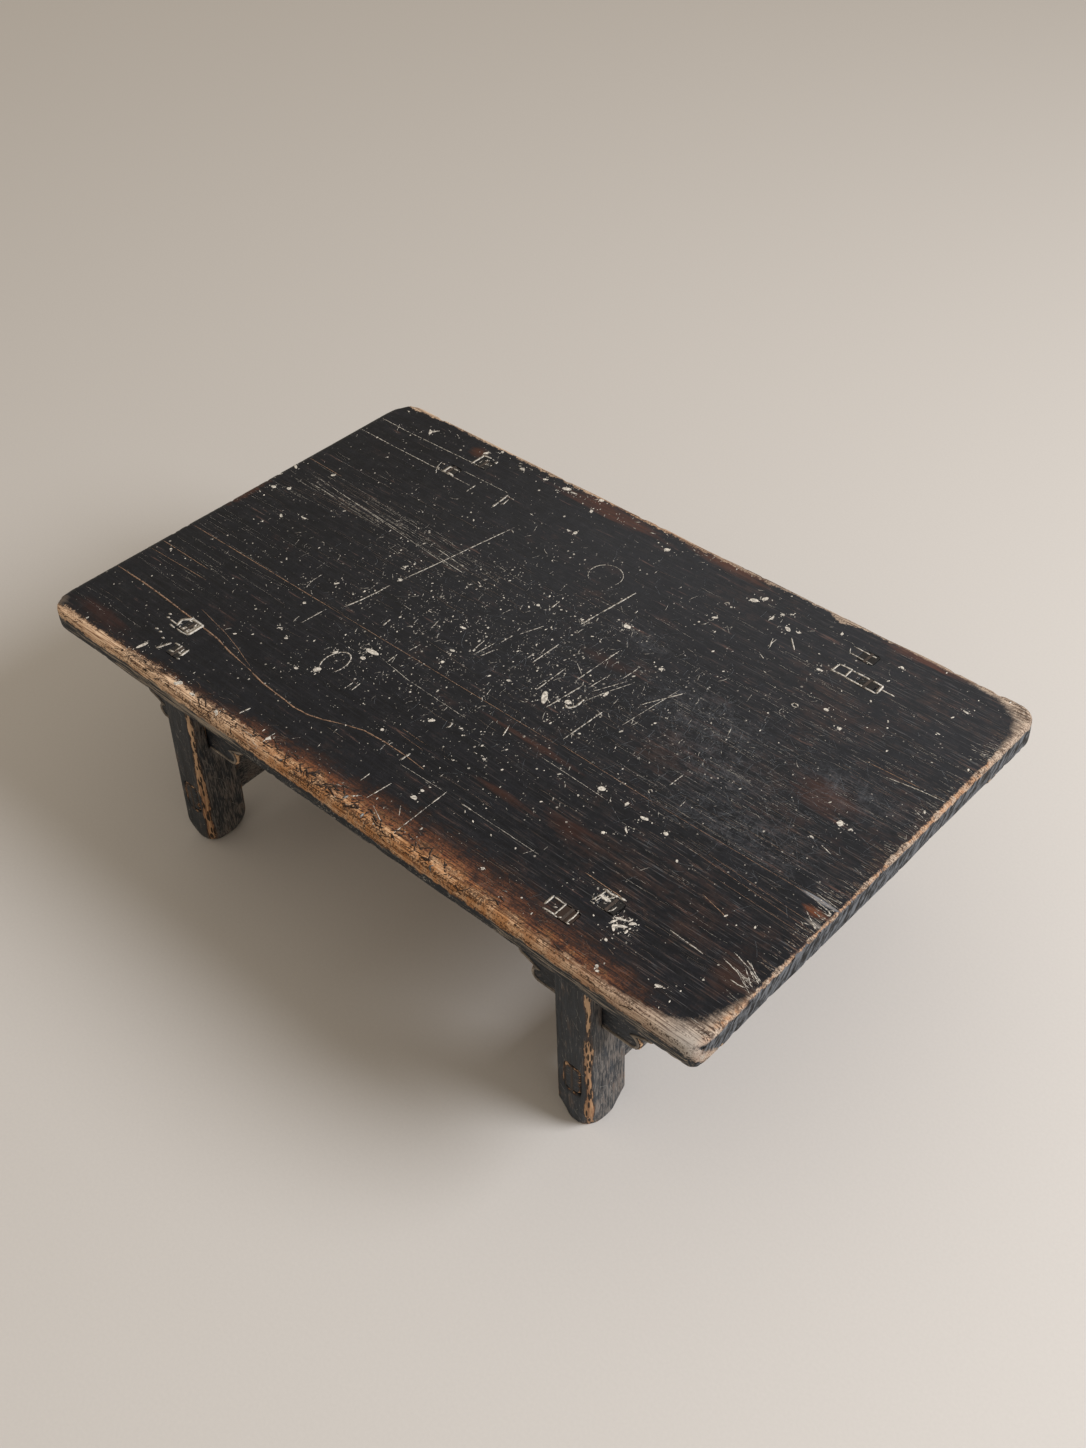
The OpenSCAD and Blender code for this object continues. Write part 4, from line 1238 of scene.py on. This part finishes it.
class FrameSettings(bpy.types.PropertyGroup):
    cell: FloatProperty(
        name="Cell", description="Size of the faces of the legs and rails", unit="LENGTH", default=1.5 * MM
    )
    wear: FloatProperty(
        name="Wear", description="How far the arrises are rubbed down", subtype="FACTOR", default=1.0
    )
    bare_width: FloatProperty(
        name="Bare arris",
        description="Width of the most worn arris of a leg",
        unit="LENGTH",
        default=10 * MM,
    )
    bead_radius: FloatProperty(
        name="Bead radius", description="Radius of the bead on a spandrel", unit="LENGTH", default=1.5 * MM
    )
    bead_inset: FloatProperty(
        name="Bead inset", description="From a spandrel's edge to its bead", unit="LENGTH", default=4 * MM
    )


class StudioSettings(bpy.types.PropertyGroup):
    camera_place: FloatVectorProperty(
        name="Camera place",
        description="Where the camera stands",
        size=3,
        subtype="TRANSLATION",
        unit="LENGTH",
        default=(0.9806, -0.9818, 1.4598),
    )
    camera_turn: FloatProperty(
        name="Turn",
        description="Turn of the camera to the left of +Y",
        unit="ROTATION",
        default=radians(43.995),
    )
    camera_tilt: FloatProperty(
        name="Tilt", description="Tilt of the camera below level", unit="ROTATION", default=radians(42.347)
    )
    camera_roll: FloatProperty(
        name="Roll",
        description="Roll of the camera about its line of sight",
        unit="ROTATION",
        default=radians(-2.0),
    )
    lens: FloatProperty(
        name="Lens", description="Focal length on a 36 mm sensor", unit="CAMERA", default=40.875
    )
    floor_colour: StringProperty(name="Floor", description="Colour of the paper floor", default="#c6c2be")
    key_power: FloatProperty(
        name="Key power", description="Power of the soft lamp", unit="POWER", default=214
    )
    key_place: FloatVectorProperty(
        name="Key place",
        description="Where the soft lamp hangs",
        size=3,
        subtype="TRANSLATION",
        unit="LENGTH",
        default=(3.302, 1.287, 2.963),
    )
    key_size: FloatProperty(
        name="Key size", description="Width of the soft lamp", unit="LENGTH", default=2.1
    )
    ambient: FloatProperty(name="Ambient", description="Strength of the even light", default=0.554)


class KANG_OT_tabletop(bpy.types.Operator):
    """Make the three worn planks of the top"""

    bl_idname = "kang.tabletop"
    bl_label = "Tabletop planks"

    def execute(self, context):
        settings = context.scene.kang_top
        material = top_lacquer(shader_groups())
        for node in PLANKS:
            worn_plank(node, settings.cell, settings.wear, material)
        return {"FINISHED"}


class KANG_OT_flecks(bpy.types.Operator):
    """Scatter flecks of dried lime over the top"""

    bl_idname = "kang.flecks"
    bl_label = "Lime flecks"

    def execute(self, context):
        settings = context.scene.kang_top
        random = np.random.default_rng(settings.fleck_seed)
        rows = [(x, y, length / 2, width / 2, turn) for x, y, length, width, turn in FLECKS]
        for x, y, length, width, _ in FLECKS:
            for _ in range(int(length * 0.9)):
                size = random.uniform(0.25, 0.8)
                near_x, near_y = random.normal((x, y), length * 0.45)
                rows.append((near_x, near_y, size * random.uniform(1, 2.2), size, random.uniform(50, 140)))
        wanted = len(rows) + settings.fleck_count
        while len(rows) < wanted:
            x, y = random.uniform((6, 14), TOP_SIZE[:2] - 6)
            crowd = np.exp(-(((x - 450) / 215) ** 2) - ((y - 285) / 150) ** 2)
            clump = noise.noise((x / 40, y / 40, 3.0))
            if random.random() < (0.14 + 0.86 * crowd) * (0.4 + 1.2 * clump):
                size = 0.28 + 1.0 * random.random() ** 4
                rows.append((x, y, size * random.uniform(1, 2.4), size, random.uniform(40, 150)))
        lime = chalky("dried_limewash", "#8f8a82", "#dbd4c9")
        surfaces = worn_surfaces()
        height = settings.fleck_height
        co, sizes, turns = [], [], []
        for x, y, half_length, half_width, turn in rows:
            point, normal = surface_at(surfaces, x, y)
            if point is None:
                continue
            tilt = Vector((0, 0, 1)).rotation_difference(normal)
            co.append(point - normal * height / 2)
            sizes.append((half_length * MM, half_width * MM, height))
            turns.append((tilt @ Quaternion((0, 0, 1), radians(turn))).to_euler())
        mesh = bpy.data.meshes.new("fleck_points")
        mesh.from_pydata(co, [], [])
        label_points(mesh, "size", sizes)
        label_points(mesh, "turn", turns)
        values = {"Sides": 10, "Raggedness": 2.6 * MM, "Material": lime}
        grown("lime_flecks", mesh, fleck_tree(), values)
        return {"FINISHED"}


class KANG_OT_scratches(bpy.types.Operator):
    """Draw the scratches, the old paint round the tenons and the open checks"""

    bl_idname = "kang.scratches"
    bl_label = "Scratches and checks"

    def execute(self, context):
        settings = context.scene.kang_top
        random = np.random.default_rng(settings.scratch_seed)
        share = settings.scratch_share
        sets = {"pale": [*SCRATCHES, *ring_rows()], "fine": [], "tan": [], "scuffs": [], "nicks": []}
        for name, count, *shape in LOOSE_STROKES:
            front = 1.5 if name == "nicks" else 14
            sets[name] += loose_strokes(random, int(count * share), front, *shape)
        primer = chalky("pale_primer", "#96918a", "#e2dbd0")
        dull = chalky("dull_primer", "#787571", "#c4beb4")
        hazy = chalky("scuffed_lacquer", "#4b5056", "#71777d")
        wood = chalky("opened_pine", "#735a4a", "#b08d72")
        hair = chalky("raised_grain", "#54483f", "#87776a")
        char = chalky("blackened_pine_nicks", "#1d1512", "#4a3325")
        plaster = chalky("grey_plaster", "#56575a", "#8f8f8d")
        surfaces = worn_surfaces()
        for name, rows, gaps, wander, material in (
            ("pale_scratches", sets["pale"], 0.42, 1.2 * MM, primer),
            ("fine_scratches", sets["fine"], 0.45, 0.8 * MM, dull),
            ("tenon_paint", TENON_PAINT, 0.31, 0.9 * MM, primer),
            ("scuffs", sets["scuffs"], 0.4, 0.8 * MM, hazy),
            ("open_checks", CHECKS, 0.36, 1.0 * MM, wood),
            ("grain_hairs", sets["tan"], 0.4, 0.8 * MM, hair),
            ("edge_nicks", sets["nicks"], 0.36, 1.2 * MM, char),
            ("edge_chips", chip_rows(), 0.3, 1.2 * MM, plaster),
        ):
            values = {"Step": 1.5 * MM, "Wander": wander, "Gaps": gaps, "Material": material}
            grown(name, draped(rows, surfaces), stroke_tree(), values)
        return {"FINISHED"}


class KANG_OT_legs(bpy.types.Operator):
    """Make the four worn legs"""

    bl_idname = "kang.legs"
    bl_label = "Legs"

    def execute(self, context):
        settings = context.scene.kang_frame
        material = frame_lacquer("blue_black_lacquer_upright", "Z", shader_groups())
        others = ((-1, -1), (1, 1), (-1, 1))
        bands = [(1, -1, settings.bare_width)]
        bands += [(*side, settings.bare_width / 2) for side in others]
        for seed, (node, foot) in enumerate(zip(LEGS, FEET)):
            worn_piece(
                node, settings.cell, settings.wear, 10 + 3 * seed, material, bands, foot
            )
        return {"FINISHED"}


class KANG_OT_rails(bpy.types.Operator):
    """Make the aprons, the spandrels with their beads and the end stretchers"""

    bl_idname = "kang.rails"
    bl_label = "Aprons, spandrels and stretchers"

    def execute(self, context):
        settings = context.scene.kang_frame
        material = frame_lacquer("blue_black_lacquer_level", "X", shader_groups())
        for seed, node in enumerate(APRONS + SPANDRELS + STRETCHERS):
            cell = settings.cell if node in SPANDRELS else settings.cell * 1.3
            worn_piece(node, cell, settings.wear, 40 + 3 * seed, material)
        inset = settings.bead_inset / MM
        half = [(22, inset)]
        half += arc(60, 13, 13 - inset, -90, 90)
        half += arc(80, 36, 10 - inset, -90, 0, 6)
        half += arc(120, 44, 34 + inset, 180, 96, 12)
        co, edges = [], []
        for node in SPANDRELS:
            low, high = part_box(node)
            middle = (low.x + high.x) / 2
            face = high.y if high.y > 0 else low.y
            for side in (-1, 1):
                first = len(co)
                co += [(middle + side * px * MM, face, low.z + pz * MM) for px, pz in half]
                edges += [(i, i + 1) for i in range(first, len(co) - 1)]
        mesh = bpy.data.meshes.new("bead_paths")
        mesh.from_pydata(co, edges, [])
        # Lacquer rubbed to grey and tan along a raised bead
        bead = bare_wood("worn_lacquer_bead", "#2a2a2d", "#a69a8c", (0.08, 0.08, 0.08))
        values = {"Radius": settings.bead_radius, "Sides": 10, "Material": bead}
        grown("spandrel_beads", mesh, bead_tree(), values)
        return {"FINISHED"}


class KANG_OT_joinery(bpy.types.Operator):
    """Finish the wedges, the battens and the bamboo pins"""

    bl_idname = "kang.joinery"
    bl_label = "Wedges, battens and pins"

    def execute(self, context):
        batten = bare_wood("bare_pine", "#4d3a2b", "#8d6e52", (0.25, 0.02, 0.25))
        wedge = bare_wood("blackened_pine", "#1f1c1b", "#4a3d34", (0.3, 0.3, 0.05))
        pin = bare_wood("split_bamboo", "#8f7748", "#c4ac76", (0.5, 0.04, 0.5))
        for nodes, material in ((BATTENS, batten), (WEDGES, wedge), ((PINS,), pin)):
            for node in nodes:
                materials = frame["nodes"][node].data.materials
                materials.clear()
                materials.append(material)
        return {"FINISHED"}


class KANG_OT_studio(bpy.types.Operator):
    """Add the floor, the lights and the camera"""

    bl_idname = "kang.studio"
    bl_label = "Studio"

    def execute(self, context):
        settings = context.scene.kang_studio
        data = bpy.data.cameras.new("camera")
        data.lens = settings.lens
        data.sensor_width = 36
        data.clip_end = 50
        camera = new_object("camera", data)
        camera.matrix_world = (
            Matrix.Translation(settings.camera_place)
            @ Matrix.Rotation(settings.camera_turn, 4, "Z")
            @ Matrix.Rotation(pi / 2 - settings.camera_tilt, 4, "X")
            @ Matrix.Rotation(settings.camera_roll, 4, "Z")
        )
        context.scene.camera = camera

        signs = ((-1, -1), (1, -1), (1, 1), (-1, 1))
        corners = [(x * FLOOR_HALF, y * FLOOR_HALF, 0) for x, y in signs]
        mesh = bpy.data.meshes.new("floor")
        mesh.from_pydata(corners, [], [(0, 1, 2, 3)])
        paper, put, raw = new_material("backdrop_paper")
        tooth = put(NOISE, {"Vector": raw, "Scale": 0.3, "Detail": 3.0})
        tone = put(RANGE, [tooth, 0.3, 0.7, 0.985, 1.015])
        colour = put(MIX, [1.0, settings.floor_colour, tone], blend_type="MULTIPLY")
        finish_shader(paper, {"Base Color": colour, "Roughness": 0.95, "Specular IOR Level": 0.1})
        mesh.materials.append(paper)
        floor = new_object("floor", mesh)

        key = bpy.data.lights.new("key", "AREA")
        key.shape = "DISK"
        key.size = settings.key_size
        key.energy = settings.key_power
        key.color = srgb("#f9fbff")[:3]
        lamp = new_object("key", key)
        place = Vector(settings.key_place)
        lamp.matrix_world = Matrix.Translation(place) @ place.to_track_quat("Z", "Y").to_matrix().to_4x4()
        world = bpy.data.worlds.new("studio")
        world.use_nodes = True
        sky = world.node_tree.nodes["Background"]
        join(world.node_tree, sky, {"Color": "#fff2df", "Strength": settings.ambient})
        context.scene.world = world
        context.scene.view_settings.view_transform = "Standard"
        return {"FINISHED"}


class KANG_PT_panel(bpy.types.Panel):
    """The table's pieces and their settings"""

    bl_idname = "KANG_PT_panel"
    bl_label = "Kang table"
    bl_space_type = "VIEW_3D"
    bl_region_type = "UI"
    bl_category = "Kang table"

    def draw(self, context):
        for operator in OPERATORS:
            self.layout.operator(operator.bl_idname)
        for settings in (context.scene.kang_top, context.scene.kang_frame, context.scene.kang_studio):
            box = self.layout.box()
            for name in settings.bl_rna.properties.keys():
                if name not in ("rna_type", "name"):
                    box.prop(settings, name)


OPERATORS = (
    KANG_OT_studio,
    KANG_OT_tabletop,
    KANG_OT_legs,
    KANG_OT_rails,
    KANG_OT_joinery,
    KANG_OT_flecks,
    KANG_OT_scratches,
)
CLASSES = (TopSettings, FrameSettings, StudioSettings, *OPERATORS, KANG_PT_panel)


def shader_groups():
    """The shared shader groups as types of node. Each is made once."""
    makers = {"patch": patch_group, "specks": speck_group, "scratches": scratch_group}
    trees = {name: bpy.data.node_groups.get(name) or make() for name, make in makers.items()}
    return {name: ("ShaderNodeGroup", {"node_tree": tree}) for name, tree in trees.items()}


def register():
    for cls in CLASSES:
        bpy.utils.register_class(cls)
    bpy.types.Scene.kang_top = PointerProperty(type=TopSettings)
    bpy.types.Scene.kang_frame = PointerProperty(type=FrameSettings)
    bpy.types.Scene.kang_studio = PointerProperty(type=StudioSettings)


def unregister():
    del bpy.types.Scene.kang_studio
    del bpy.types.Scene.kang_frame
    del bpy.types.Scene.kang_top
    for cls in reversed(CLASSES):
        bpy.utils.unregister_class(cls)


def main():
    register()
    bpy.ops.kang.studio()
    bpy.ops.kang.tabletop()
    bpy.ops.kang.legs()
    bpy.ops.kang.rails()
    bpy.ops.kang.joinery()
    bpy.ops.kang.flecks()
    bpy.ops.kang.scratches()


if __name__ == "__main__":
    main()
